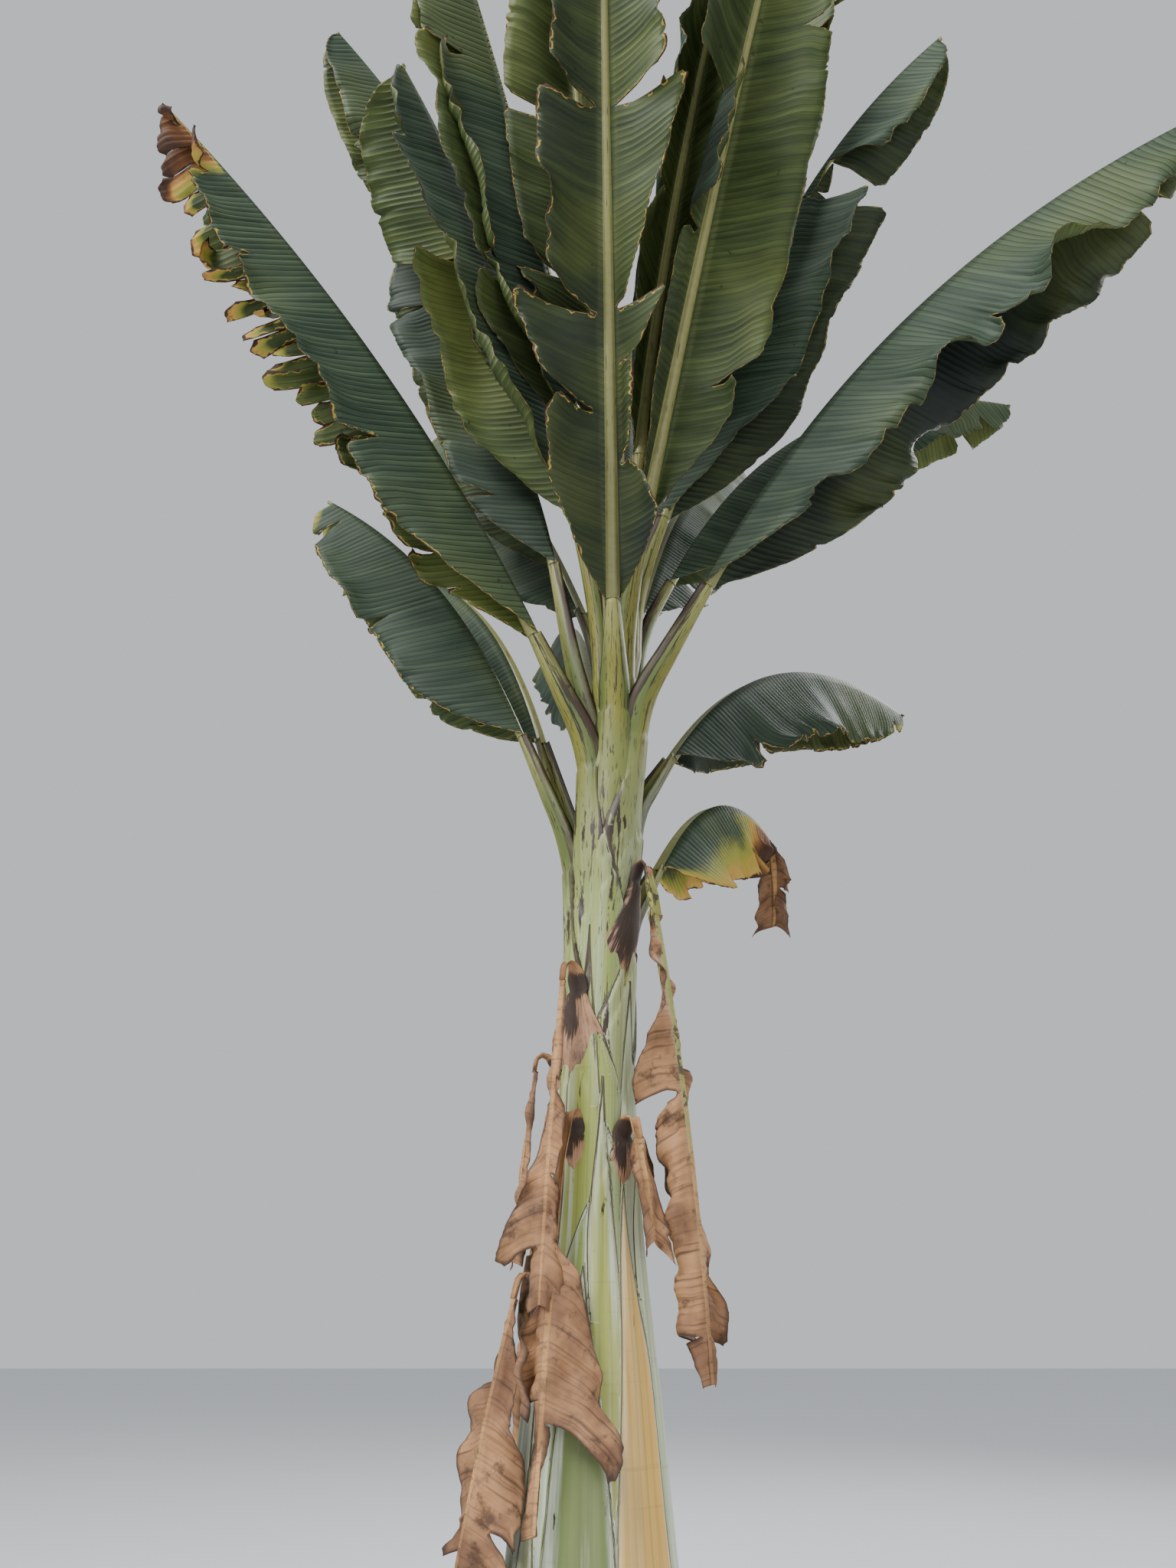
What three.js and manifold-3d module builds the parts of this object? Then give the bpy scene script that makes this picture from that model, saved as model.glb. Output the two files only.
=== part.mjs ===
// A snow banana: one stout waxy false trunk of leaf sheaths, its crown of long blades on channelled
// stalks, and the old leaves that hang dead against the trunk.
// Millimetres, +Z up, with the origin in the flat cut at the foot.
import * as THREE from "three";
import { mergeVertices } from "three/addons/utils/BufferGeometryUtils.js";
import Module from "manifold-3d";

const wasm = await Module();
wasm.setup();

// The gap between neighbours, how deep a fused blade sinks into its stalk, the step along a midrib,
// and how far a finished surface may be simplified.
const CLEAR = 0.3;
const SUNK = 2;
const STEP = 20;
const FINE = 0.12;

// The false trunk: its radius at each height, and how far its axis has leaned to +X at LEAN_HEIGHT.
const TRUNK_RADII = [
  [0, 360],
  [120, 352],
  [300, 340],
  [600, 305],
  [960, 262],
  [1400, 220],
  [1900, 160],
  [2500, 136],
  [3000, 129],
  [3300, 124],
  [3600, 108],
  [3900, 90],
  [4150, 72],
  [4350, 46],
];
const TRUNK_TOP = 4350;
const TRUNK_SIDES = 20;
const LEAN = 100;
const LEAN_HEIGHT = 3630;
const LEAN_ABOVE = 0.041;

// Stalks that leave above HEART_HEIGHT stand steep in the heart of the crown, on short slim sheaths.
const HEART_HEIGHT = 3900;
const SHEATH = { trunk: 320, heart: 120 };
const FIRST_RISE = { trunk: 80, heart: 88 };

// How soon a stalk turns from its first slope to that of its blade: at 2 it is there half way along.
const HURRY = { trunk: 2.2, heart: 1.2, dead: 1 };

// Half width and depth of a stalk: low on its sheath, where it leaves, half way and at the blade.
const STALK_SIZES = {
  trunk: { low: [92, 12], leave: [64, 42], middle: [50, 40], end: [32, 30] },
  heart: { low: [48, 12], leave: [46, 34], middle: [42, 34], end: [28, 28] },
  dead: { low: [60, 9], leave: [44, 22], middle: [34, 20], end: [24, 16] },
};

// Rings of the free stalk: share of its length, the size there, and how far it still wraps round the trunk.
const STALK_STATIONS = [
  [0, "leave", 1],
  [0.22, "leave", 0.5],
  [0.5, "middle", 0],
  [1, "end", 0],
];

// The channelled section, in shares of half width and depth: a keel below, a groove above.
const STALK_OUTLINE = [
  [-1, 0.25],
  [-0.76, -0.6],
  [0, -1],
  [0.76, -0.6],
  [1, 0.25],
  [0.5, -0.05],
  [-0.5, -0.05],
];

// Blades: where the half width stops growing and starts to shrink, and how roundly it does both.
const FULL_FROM = 0.28;
const FULL_TO = 0.6;
const GROW_POWER = 1.7;
const SHRINK_POWER = 2.3;

// Each half folds at the rib and droops on by DROOP degrees in two flat strips, turned by these shares of it.
const DROOP = -10;
const STRIP_DROOP = [0.25, 0.75];
const BLADE_THICKNESS = 28;
const DEAD_THICKNESS = 16;
const LEAST_LAMINA = 8;

// The rib under the middle, at the foot and the tip of a blade, and the shares of it that a dead one keeps.
const RIB_HALF = [30, 16];
const RIB_DEPTH = [24, 6];
const DEAD_RIB = { half: 0.7, depth: 0.4 };

// Places along a blade where its section is worked out, and half the length of a tear's mouth.
const STATIONS = [0, 0.06, 0.14, 0.25, 0.4, 0.55, 0.7, 0.84, 0.94, 1];
const DEAD_STATIONS = [0, 0.12, 0.3, 0.55, 0.8, 0.94, 1];
const TEAR_HALF = 0.012;

const COLOURS = {
  trunk: 0xb9c39a,
  stalk: 0xa9b35c,
  blade: 0x55683f,
  deadStalk: 0x7a6238,
  deadBlade: 0x9a7348,
  deadTip: 0x6d5334,
};

// Living leaves, lowest first.
// az: compass angle of the stalk (0 is +X, 90 is +Y). from: height where the stalk leaves the trunk.
// stalk, blade, half: lengths of stalk and blade, and half the blade's width.
// rise and tip: slope of the midrib at the foot and the tip of the blade. bend: how late it bends.
// plus and minus: how far each half hangs below flat, on the side of +B and of -B.
// tears: [side, place along the blade, depth as a share of the half].
const LEAVES = [
  { name: "yellowing", az: 50, from: 2900, rise: 54, tip: -30, bend: 1.2,
    stalk: 480, blade: 1120, half: 360, plus: -75, minus: -60 },
  { name: "low_left_back", az: 135, from: 3120, rise: 70, tip: 30, bend: 1.2,
    stalk: 800, blade: 1800, half: 360, plus: -70, minus: -75 },
  { name: "low_left", az: 168, from: 3200, rise: 68, tip: 35, bend: 1.3,
    stalk: 640, blade: 1700, half: 380, plus: -60, minus: -70 },
  { name: "low_right", az: 42, from: 3360, rise: 55, tip: -12, bend: 1.2,
    stalk: 500, blade: 2150, half: 380, plus: -75, minus: -60 },
  { name: "back", az: 98, from: 3500, rise: 60, tip: 15, bend: 1.2,
    stalk: 600, blade: 2300, half: 380, plus: -60, minus: -65 },
  { name: "long_left", az: 208, from: 3600, rise: 61, tip: 38, bend: 1,
    stalk: 600, blade: 2700, half: 400, plus: -70, minus: -80,
    tears: [[1, 0.5, 0.5], [1, 0.7, 0.6]] },
  { name: "long_right", az: 333, from: 3750, rise: 56, tip: 8, bend: 1.3,
    stalk: 700, blade: 2700, half: 430, plus: -75, minus: -45 },
  { name: "left", az: 183, from: 3750, rise: 80, tip: 60, bend: 0.8,
    stalk: 850, blade: 2000, half: 350, plus: -55, minus: -85 },
  { name: "right_back", az: 16, from: 3980, rise: 64, tip: 2, bend: 1.3,
    stalk: 600, blade: 2600, half: 380, plus: -70, minus: -60 },
  { name: "front", az: 268, from: 3840, rise: 68, tip: 60, bend: 1.5,
    stalk: 450, blade: 2750, half: 400, plus: -45, minus: -55,
    tears: [[1, 0.305, 0.6], [1, 0.435, 0.7], [1, 0.735, 0.6], [-1, 0.435, 0.7], [-1, 0.735, 0.7]] },
  { name: "back_right", az: 62, from: 3900, rise: 66, tip: 34, bend: 1.2,
    stalk: 620, blade: 2500, half: 380, plus: -60, minus: -60 },
  { name: "back_left", az: 130, from: 3950, rise: 66, tip: 48, bend: 1.2,
    stalk: 550, blade: 2200, half: 380, plus: -60, minus: -60 },
  { name: "front_right", az: 297, from: 4000, rise: 64, tip: 57, bend: 1.5,
    stalk: 720, blade: 2600, half: 400, plus: -60, minus: -75 },
  { name: "left_front", az: 222, from: 4000, rise: 72, tip: 48, bend: 1.2,
    stalk: 800, blade: 2150, half: 380, plus: -40, minus: -85 },
  { name: "left_upper", az: 236, from: 4100, rise: 72, tip: 55, bend: 1.2,
    stalk: 1000, blade: 2500, half: 380, plus: -85, minus: -82 },
  { name: "upper_back", az: 84, from: 4100, rise: 78, tip: 56, bend: 1.2,
    stalk: 800, blade: 2400, half: 360, plus: -50, minus: -50 },
  { name: "right", az: 335, from: 4150, rise: 68, tip: 30, bend: 2.5,
    stalk: 650, blade: 2750, half: 380, plus: -80, minus: -55,
    tears: [[1, 0.7, 0.8], [-1, 0.7, 0.7]] },
  { name: "inner_right", az: 298, from: 4150, rise: 76, tip: 60, bend: 1.2,
    stalk: 900, blade: 2300, half: 340, plus: -70, minus: -88 },
  { name: "upper_right", az: 320, from: 4150, rise: 73, tip: 60, bend: 1.2,
    stalk: 1000, blade: 2600, half: 360, plus: -82, minus: -85 },
  { name: "upper_left", az: 204, from: 4200, rise: 76, tip: 44, bend: 1,
    stalk: 900, blade: 2550, half: 360, plus: -68, minus: -85 },
  { name: "inner_front", az: 255, from: 4200, rise: 76, tip: 62, bend: 1.2,
    stalk: 900, blade: 2400, half: 360, plus: -75, minus: -60 },
  { name: "upper_back_left", az: 155, from: 4200, rise: 80, tip: 58, bend: 1.2,
    stalk: 900, blade: 2400, half: 340, plus: -50, minus: -50 },
];

// Dead leaves: the stalk kinks over and the blade hangs down the trunk.
// first: slope where the stalk leaves. single: stalk and blade are one small piece.
const DEAD_LEAVES = [
  { name: "dead_right", az: 338, from: 3060, first: 75, rise: -86, tip: -89, bend: 1,
    stalk: 210, blade: 1560, half: 150, plus: -30, minus: -35 },
  { name: "dead_left", az: 234, from: 2700, first: 75, rise: -84, tip: -86, bend: 1,
    stalk: 200, blade: 1050, half: 150, plus: -30, minus: -30 },
  { name: "dead_strip", az: 190, from: 2420, first: 60, rise: -84, tip: -86, bend: 1,
    stalk: 160, blade: 620, half: 55, plus: -20, minus: -20, single: true },
  { name: "dead_small_right", az: 310, from: 2200, first: 60, rise: -84, tip: -86, bend: 1,
    stalk: 160, blade: 330, half: 70, plus: -20, minus: -20, single: true },
  { name: "dead_front", az: 278, from: 1880, first: 65, rise: -84, tip: -84, bend: 1,
    stalk: 180, blade: 720, half: 140, plus: -30, minus: -30 },
  { name: "dead_low_left", az: 205, from: 1700, first: 65, rise: -78, tip: -82, bend: 1,
    stalk: 180, blade: 1080, half: 160, plus: -35, minus: -30 },
  { name: "dead_back", az: 78, from: 2780, first: 75, rise: -82, tip: -86, bend: 1,
    stalk: 210, blade: 1450, half: 150, plus: -35, minus: -30 },
  { name: "dead_back_left", az: 138, from: 2250, first: 70, rise: -82, tip: -86, bend: 1,
    stalk: 190, blade: 1150, half: 140, plus: -30, minus: -35 },
];

// The dead end of the yellowing leaf, which goes on from its tip and hangs.
const DEAD_TIP = { name: "yellowing_tip", az: 50, rise: -30, tip: -88, bend: 0.5,
  stalk: 0, blade: 320, half: 90, plus: -50, minus: -50 };

const radians = THREE.MathUtils.degToRad;
const { lerp, clamp, smoothstep } = THREE.MathUtils;

function outward(azimuth) {
  return new THREE.Vector3(Math.cos(radians(azimuth)), Math.sin(radians(azimuth)), 0);
}

function kindOf(leaf) {
  if (leaf.dead) return "dead";
  return leaf.from >= HEART_HEIGHT ? "heart" : "trunk";
}

function trunkRadius(z) {
  let i = 1;
  while (i < TRUNK_RADII.length - 1 && TRUNK_RADII[i][0] < z) i += 1;
  const [low, atLow] = TRUNK_RADII[i - 1];
  const [high, atHigh] = TRUNK_RADII[i];
  return lerp(atLow, atHigh, clamp((z - low) / (high - low), 0, 1));
}

function trunkAxis(z) {
  const bent = LEAN * (Math.min(z, LEAN_HEIGHT) / LEAN_HEIGHT) ** 3;
  return new THREE.Vector3(bent + Math.max(z - LEAN_HEIGHT, 0) * LEAN_ABOVE, 0, z);
}

// Directions at a place on a leaf: T along it, N to its upper side and B across it.
function frameOf(azimuth, rise) {
  const h = outward(azimuth);
  const up = new THREE.Vector3(0, 0, 1);
  const slope = radians(rise);
  const T = h.clone().multiplyScalar(Math.cos(slope)).addScaledVector(up, Math.sin(slope));
  const N = h.clone().multiplyScalar(-Math.sin(slope)).addScaledVector(up, Math.cos(slope));
  return { T, N, B: T.clone().cross(N) };
}

// The slope of the stalk or the midrib, s millimetres from where the stalk leaves the trunk.
function riseAt(leaf, s) {
  if (s < leaf.stalk) {
    const kind = kindOf(leaf);
    const turned = smoothstep((s / leaf.stalk) * HURRY[kind], 0, 1);
    return lerp(leaf.first ?? FIRST_RISE[kind], leaf.rise, turned);
  }
  const u = Math.min((s - leaf.stalk) / leaf.blade, 1);
  return lerp(leaf.rise, leaf.tip, u ** leaf.bend);
}

// The line that the stalk and the midrib follow, from the trunk or from a given start.
function courseOf(leaf, start) {
  const count = Math.round((leaf.stalk + leaf.blade) / STEP);
  const ds = (leaf.stalk + leaf.blade) / count;
  const onTrunk = trunkAxis(leaf.from ?? 0).addScaledVector(outward(leaf.az), trunkRadius(leaf.from ?? 0));
  const point = start?.clone() ?? onTrunk;
  const course = [];
  for (let i = 0; i <= count; i += 1) {
    const s = i * ds;
    const frame = frameOf(leaf.az, riseAt(leaf, s));
    course.push({ s, point: point.clone(), ...frame });
    point.addScaledVector(frame.T, ds);
  }
  return course;
}

function frameAt(course, s) {
  const ds = course[1].s - course[0].s;
  const i = Math.min(Math.floor(s / ds + 1e-6), course.length - 2);
  const share = (s - course[i].s) / ds;
  const mix = (key) => course[i][key].clone().lerp(course[i + 1][key], share);
  return { point: mix("point"), T: mix("T"), N: mix("N"), B: mix("B") };
}

function manifoldOf(vertices, triangles) {
  const vertProperties = new Float32Array(vertices);
  const triVerts = new Uint32Array(triangles);
  return new wasm.Manifold(new wasm.Mesh({ numProp: 3, vertProperties, triVerts }));
}

// A closed solid through rings with the same number of corners, capped at both ends.
function solidOf(rings) {
  const size = rings[0].length;
  const vertices = [];
  const triangles = [];
  for (const ring of rings) {
    for (const corner of ring) vertices.push(corner.x, corner.y, corner.z);
  }
  for (let i = 0; i < rings.length - 1; i += 1) {
    for (let j = 0; j < size; j += 1) {
      const a = i * size + j;
      const b = i * size + ((j + 1) % size);
      triangles.push(a, b + size, b, a, a + size, b + size);
    }
  }
  for (const [ring, turned] of [[0, true], [rings.length - 1, false]]) {
    const middle = new THREE.Vector3();
    for (const corner of rings[ring]) middle.addScaledVector(corner, 1 / size);
    vertices.push(middle.x, middle.y, middle.z);
    const centre = vertices.length / 3 - 1;
    for (let j = 0; j < size; j += 1) {
      const a = ring * size + j;
      const b = ring * size + ((j + 1) % size);
      triangles.push(centre, ...(turned ? [a, b] : [b, a]));
    }
  }
  return manifoldOf(vertices, triangles);
}

// The trunk, turned from its profile and then leaned.
function trunkSolid(grow) {
  const rings = TRUNK_RADII.map(([z, r]) => new THREE.Vector2(r + grow, z));
  rings.at(-1).y += grow;
  const profile = [new THREE.Vector2(0, 0), ...rings, new THREE.Vector2(0, TRUNK_TOP + grow)];
  const lathe = new THREE.LatheGeometry(profile, TRUNK_SIDES).rotateX(Math.PI / 2);
  const place = lathe.getAttribute("position");
  for (let i = 0; i < place.count; i += 1) {
    place.setX(i, place.getX(i) + trunkAxis(Math.max(place.getZ(i), 0)).x);
  }
  return fromGeometry(lathe);
}

// A geometry as a solid, its equal corners merged and its empty triangles left out.
function fromGeometry(geometry) {
  const bare = geometry.index ? geometry.toNonIndexed() : geometry;
  bare.deleteAttribute("normal");
  bare.deleteAttribute("uv");
  const merged = mergeVertices(bare, 1e-3);
  const index = [...merged.index.array];
  const kept = [];
  for (let i = 0; i < index.length; i += 3) {
    const [a, b, c] = index.slice(i, i + 3);
    if (a !== b && b !== c && c !== a) kept.push(a, b, c);
  }
  return manifoldOf(merged.getAttribute("position").array, kept);
}

// The corners of a closed outline in its own plane, moved out by grow.
function offsetOutline(corners, grow) {
  const count = corners.length;
  return corners.map(([x, y], i) => {
    const [px, py] = corners[(i + count - 1) % count];
    const [qx, qy] = corners[(i + 1) % count];
    const before = new THREE.Vector2(y - py, px - x).normalize();
    const after = new THREE.Vector2(qy - y, x - qx).normalize();
    const out = before.add(after);
    out.multiplyScalar((2 * grow) / Math.max(out.lengthSq(), 1));
    return [x + out.x, y + out.y];
  });
}

// The channelled section of a stalk: a keel below and a groove above, bent round the trunk by wrap.
function stalkRing(frame, half, depth, wrap, radius, grow) {
  const outline = STALK_OUTLINE.map(([x, y]) => {
    const across = x * half;
    const recede = radius - Math.sqrt(Math.max(radius ** 2 - across ** 2, 0));
    return [across, y * depth + recede * wrap];
  });
  return offsetOutline(outline, grow).map(([x, y]) =>
    frame.point.clone().addScaledVector(frame.B, x).addScaledVector(frame.N, y),
  );
}

// A stalk with its sheath: rings down on the trunk first, then along the free stalk.
function stalkSolid(leaf, course, grow) {
  const kind = kindOf(leaf);
  const sizes = STALK_SIZES[kind];
  const sheath = SHEATH[kind] ?? SHEATH.trunk;
  const radius = trunkRadius(leaf.from);
  const rings = [];
  for (const share of leaf.from >= HEART_HEIGHT ? [1] : [1, 0.5]) {
    const z = leaf.from - sheath * share;
    const frame = frameOf(leaf.az, 90);
    frame.point = trunkAxis(z).addScaledVector(frame.N, -trunkRadius(z));
    const half = lerp(sizes.leave[0], sizes.low[0], share);
    const depth = lerp(sizes.leave[1], sizes.low[1], share);
    rings.push(stalkRing(frame, half, depth, 1, trunkRadius(z), grow));
  }
  for (const [share, size, wrap] of STALK_STATIONS) {
    const [half, depth] = sizes[size];
    rings.push(stalkRing(frameAt(course, share * leaf.stalk), half, depth, wrap, radius, grow));
  }
  return solidOf(rings);
}

function halfWidth(leaf, u) {
  if (u < FULL_FROM) return leaf.half * (1 - (1 - u / FULL_FROM) ** GROW_POWER);
  if (u <= FULL_TO) return leaf.half;
  const past = (u - FULL_TO) / (1 - FULL_TO);
  return leaf.half * Math.sqrt(Math.max(0, 1 - past ** SHRINK_POWER));
}

// One side of a blade's section at the rib, between the two strips and at the margin:
// the place from the midrib, and the direction in which its upper side lies.
function halfSection(frame, side, fold, rib, width) {
  const { N } = frame;
  const across = frame.B.clone().multiplyScalar(side);
  const mixed = (a, onA, b, onB) => a.clone().multiplyScalar(onA).addScaledVector(b, onB);
  const way = (angle) => mixed(across, Math.cos(angle), N, Math.sin(angle));
  const upper = (angle) => mixed(N, Math.cos(angle), across, -Math.sin(angle));
  const [first, second] = STRIP_DROOP.map((share) => radians(fold + DROOP * share));
  const length = (width - rib) / 2;
  const atRib = across.clone().multiplyScalar(rib);
  const between = atRib.clone().addScaledVector(way(first), length);
  const margin = between.clone().addScaledVector(way(second), length);
  return [
    [atRib, upper(first / 2).multiplyScalar(1 / Math.cos(first / 2))],
    [between, upper((first + second) / 2)],
    [margin, upper(second)],
  ];
}

// The closed section of a blade: the lower side with its rib, then back over the upper side.
function bladeRing(leaf, frame, u, widths, thickness) {
  const rib = lerp(RIB_HALF[0], RIB_HALF[1], u) * (leaf.dead ? DEAD_RIB.half : 1);
  const depth = lerp(RIB_DEPTH[0], RIB_DEPTH[1], u) * (leaf.dead ? DEAD_RIB.depth : 1);
  const plus = halfSection(frame, 1, leaf.plus, rib, Math.max(widths[0], rib + LEAST_LAMINA));
  const minus = halfSection(frame, -1, leaf.minus, rib, Math.max(widths[1], rib + LEAST_LAMINA));
  const columns = [...minus.reverse(), ...plus];
  const onBlade = ([place, up], by) => place.clone().add(frame.point).addScaledVector(up, by);
  const top = columns.map((column) => onBlade(column, thickness / 2));
  const bottom = columns.map((column) => onBlade(column, -thickness / 2));
  bottom.splice(3, 0, frame.point.clone().addScaledVector(frame.N, -thickness / 2 - depth));
  return [...bottom, ...top.reverse()];
}

function bladeSolid(leaf, course, grow) {
  const thickness = (leaf.dead ? DEAD_THICKNESS : BLADE_THICKNESS) + 2 * grow;
  const tears = leaf.tears ?? [];
  const stations = new Set(leaf.dead ? DEAD_STATIONS : STATIONS);
  for (const [, place] of tears) {
    stations.add(place - TEAR_HALF);
    stations.add(place);
    stations.add(place + TEAR_HALF);
  }
  const rings = [...stations].sort((a, b) => a - b).map((u) => {
    const widths = [1, -1].map((side) => {
      const torn = tears.filter(([s, place]) => s === side && place === u);
      const left = torn.reduce((share, [, , depth]) => share * (1 - depth), 1);
      return halfWidth(leaf, u) * left + grow;
    });
    const s = lerp(leaf.stalk + (leaf.single ? -SUNK : CLEAR), leaf.stalk + leaf.blade, u);
    return bladeRing(leaf, frameAt(course, s), u, widths, thickness);
  });
  return solidOf(rings);
}

// What is left of a solid, in one piece, once it gives way to the neighbours that it would run into.
function clearOf(solid, neighbours) {
  let left = solid;
  for (const { bare, grown } of neighbours) {
    if (left.intersect(bare).volume() > 0) left = left.subtract(grown);
  }
  const pieces = left.decompose();
  return pieces.reduce((best, piece) => (piece.volume() > best.volume() ? piece : best)).simplify(FINE);
}

function meshOf(name, solid, colour) {
  const { vertProperties, triVerts } = solid.getMesh();
  const geometry = new THREE.BufferGeometry();
  geometry.setAttribute("position", new THREE.BufferAttribute(new Float32Array(vertProperties), 3));
  geometry.setIndex(new THREE.BufferAttribute(new Uint32Array(triVerts), 1));
  geometry.computeVertexNormals();
  const material = new THREE.MeshStandardMaterial({ color: colour, roughness: 0.6, metalness: 0 });
  const mesh = new THREE.Mesh(geometry, material);
  mesh.name = name;
  return mesh;
}

const plant = new THREE.Group();
plant.name = "snow_banana";
plant.add(meshOf("trunk", trunkSolid(0), COLOURS.trunk));

const deadLeaves = DEAD_LEAVES.map((leaf) => ({ ...leaf, dead: true }));
const deadTip = { ...DEAD_TIP, dead: true };
const living = LEAVES.map((leaf) => ({ ...leaf, dead: false }));
const everyLeaf = [...deadLeaves, ...living];
const courses = new Map(everyLeaf.map((leaf) => [leaf, courseOf(leaf)]));
const yellowing = living.find((leaf) => leaf.name === "yellowing");
const tipStart = courses.get(yellowing).at(-1);
courses.set(deadTip, courseOf(deadTip, tipStart.point));

// Young sheaths lie inside older ones, so each stalk gives way to the trunk and to the younger stalks.
const stalks = new Map();
const taken = [{ bare: trunkSolid(0), grown: trunkSolid(CLEAR) }];
for (const leaf of [...everyLeaf].reverse()) {
  const stalk = stalkSolid(leaf, courses.get(leaf), 0);
  stalks.set(leaf, clearOf(stalk, taken));
  taken.push({ bare: stalks.get(leaf), grown: stalkSolid(leaf, courses.get(leaf), CLEAR) });
}

for (const leaf of everyLeaf) {
  const blade = bladeSolid(leaf, courses.get(leaf), 0);
  const bladeColour = leaf.dead ? COLOURS.deadBlade : COLOURS.blade;
  const stalkColour = leaf.dead ? COLOURS.deadStalk : COLOURS.stalk;
  if (leaf.single) {
    plant.add(meshOf(leaf.name, stalks.get(leaf).add(blade), bladeColour));
  } else {
    plant.add(meshOf(`${leaf.name}_stalk`, stalks.get(leaf), stalkColour));
    plant.add(meshOf(`${leaf.name}_blade`, clearOf(blade, taken), bladeColour));
  }
}
plant.add(meshOf(deadTip.name, bladeSolid(deadTip, courses.get(deadTip), 0), COLOURS.deadTip));

export default plant;
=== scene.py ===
"""A snow banana: fluted waxy false trunk, ribbed torn blades on channelled stalks, dead leaves below.

Metres and degrees, +Z up, the origin in the flat cut at the foot. The rows below follow the same rule as the
solids: a stalk leaves the trunk, bends over, and its midrib carries a blade that folds down on both sides.
"""
import math
from types import SimpleNamespace

import bpy
import numpy as np
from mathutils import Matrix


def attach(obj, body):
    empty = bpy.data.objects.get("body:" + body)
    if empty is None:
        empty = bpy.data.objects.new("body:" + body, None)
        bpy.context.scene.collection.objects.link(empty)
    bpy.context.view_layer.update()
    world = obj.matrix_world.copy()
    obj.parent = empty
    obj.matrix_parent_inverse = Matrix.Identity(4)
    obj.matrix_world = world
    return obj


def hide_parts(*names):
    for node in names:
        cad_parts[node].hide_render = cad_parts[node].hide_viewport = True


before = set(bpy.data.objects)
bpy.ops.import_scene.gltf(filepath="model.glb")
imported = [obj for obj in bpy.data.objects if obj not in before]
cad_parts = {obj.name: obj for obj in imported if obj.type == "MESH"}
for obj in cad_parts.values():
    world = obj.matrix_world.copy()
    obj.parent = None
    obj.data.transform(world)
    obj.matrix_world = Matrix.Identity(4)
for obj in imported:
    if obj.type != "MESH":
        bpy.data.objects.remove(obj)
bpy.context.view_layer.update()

UP = np.array([0.0, 0.0, 1.0])

# The gap between a stalk and its blade, the spacing of places along a leaf, and a distance far from any edge.
CLEAR = 0.0003
STEP = 0.02
FAR = 0.2

# The camera of the photograph: where it is, how far it looks up, and its lens and sensor in millimetres.
EYE = (0, -4.2, 1.6)
LOOK_UP = 25
LENS = 27
SENSOR = 36

# The stage: how far the floor reaches, its height, and the strength of the even light from all round.
FLOOR_REACH = 60
FLOOR_HEIGHT = -0.002
SKY_STRENGTH = 0.75

# Soft lamps: name, place, what each one faces, size and power.
LAMPS = [
    ("key", (-6, -7, 12), (0, 0, 4.5), 6, 2100),
    ("back", (7, 6, 11), (0, 0, 5), 6, 1300),
    ("fill", (2.5, -9, 2.5), (0, 0, 5), 3, 170),
]

# The false trunk: height and radius, and the lean of its axis.
TRUNK_RADII = [
    (0.00, 0.360), (0.12, 0.352), (0.30, 0.340), (0.60, 0.305), (0.96, 0.262), (1.40, 0.220), (1.90, 0.160),
    (2.50, 0.136), (3.00, 0.129), (3.30, 0.124), (3.60, 0.108), (3.90, 0.090), (4.15, 0.072), (4.35, 0.046),
]
TRUNK_TOP = 4.35
LEAN = 0.1
LEAN_HEIGHT = 3.63
LEAN_ABOVE = 0.041

# The trunk's mesh, the step at a sheath's edge, how wide that ledge is, and the limits of the relief.
TRUNK_COLUMNS = 210
TRUNK_ROWS = 310
SHEATH_STEP = 0.006
LEDGE = 0.018
RELIEF_LIMITS = (-0.022, 0.014)
EVEN_OUT = np.linspace(-0.09, 0.09, 7)

# Flutes round the trunk: how many, how deep, and where they start.
FLUTES = ((3, 0.004, 0.4), (5, 0.004, 2.1), (9, 0.002, 4.0))

# Old sheaths: where each starts, its azimuth, its half width there, how fast it widens, its tone.
OLD_SHEATHS = [
    (2.95, 252, 0.03, 0.05, 0.55), (2.75, 330, 0.03, 0.05, 0.4), (2.62, 196, 0.03, 0.05, 0.3),
    (2.40, 283, 0.02, 0.05, 0.62), (2.34, 60, 0.03, 0.10, 0.5), (2.25, 346, 0.02, 0.07, 0.45),
    (2.05, 313, 0.02, 0.085, 1.0), (1.95, 120, 0.04, 0.10, 0.35), (1.80, 262, 0.03, 0.10, 0.12),
    (1.62, 20, 0.03, 0.10, 0.8), (1.45, 160, 0.03, 0.12, 0.2), (1.30, 222, 0.02, 0.08, 0.7),
    (1.10, 75, 0.03, 0.12, 0.9), (0.85, 276, 0.02, 0.07, 0.2), (0.62, 246, 0.05, 0.10, 0.6),
]

# Stalks leave the trunk or, above this height, its heart. First slope, how soon they bend, how far down the
# sheath shows, and half width and depth at four places along them.
HEART_HEIGHT = 3.9
FIRST_RISE = {"trunk": 80, "heart": 88}
HURRY = {"trunk": 2.2, "heart": 1.2, "dead": 1}
FOOT = {"trunk": 0.5, "heart": 0.2}
STALK_PLACES = (0, 0.22, 0.5, 1)
STALK_HALVES = {
    "trunk": (0.064, 0.064, 0.050, 0.0275), "heart": (0.046, 0.046, 0.044, 0.0275),
    "dead": (0.040, 0.040, 0.022, 0.018),
}
STALK_DEPTHS = {
    "trunk": (0.042, 0.042, 0.040, 0.0295), "heart": (0.034, 0.034, 0.036, 0.0295),
    "dead": (0.009, 0.009, 0.008, 0.007),
}
FOOT_STEP = 0.02
STALK_STEP = 0.018

# Places across a stalk from one rim to the other, closer together at the rims.
ACROSS_STALK = -np.cos(np.pi * np.arange(15) / 14)

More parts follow.
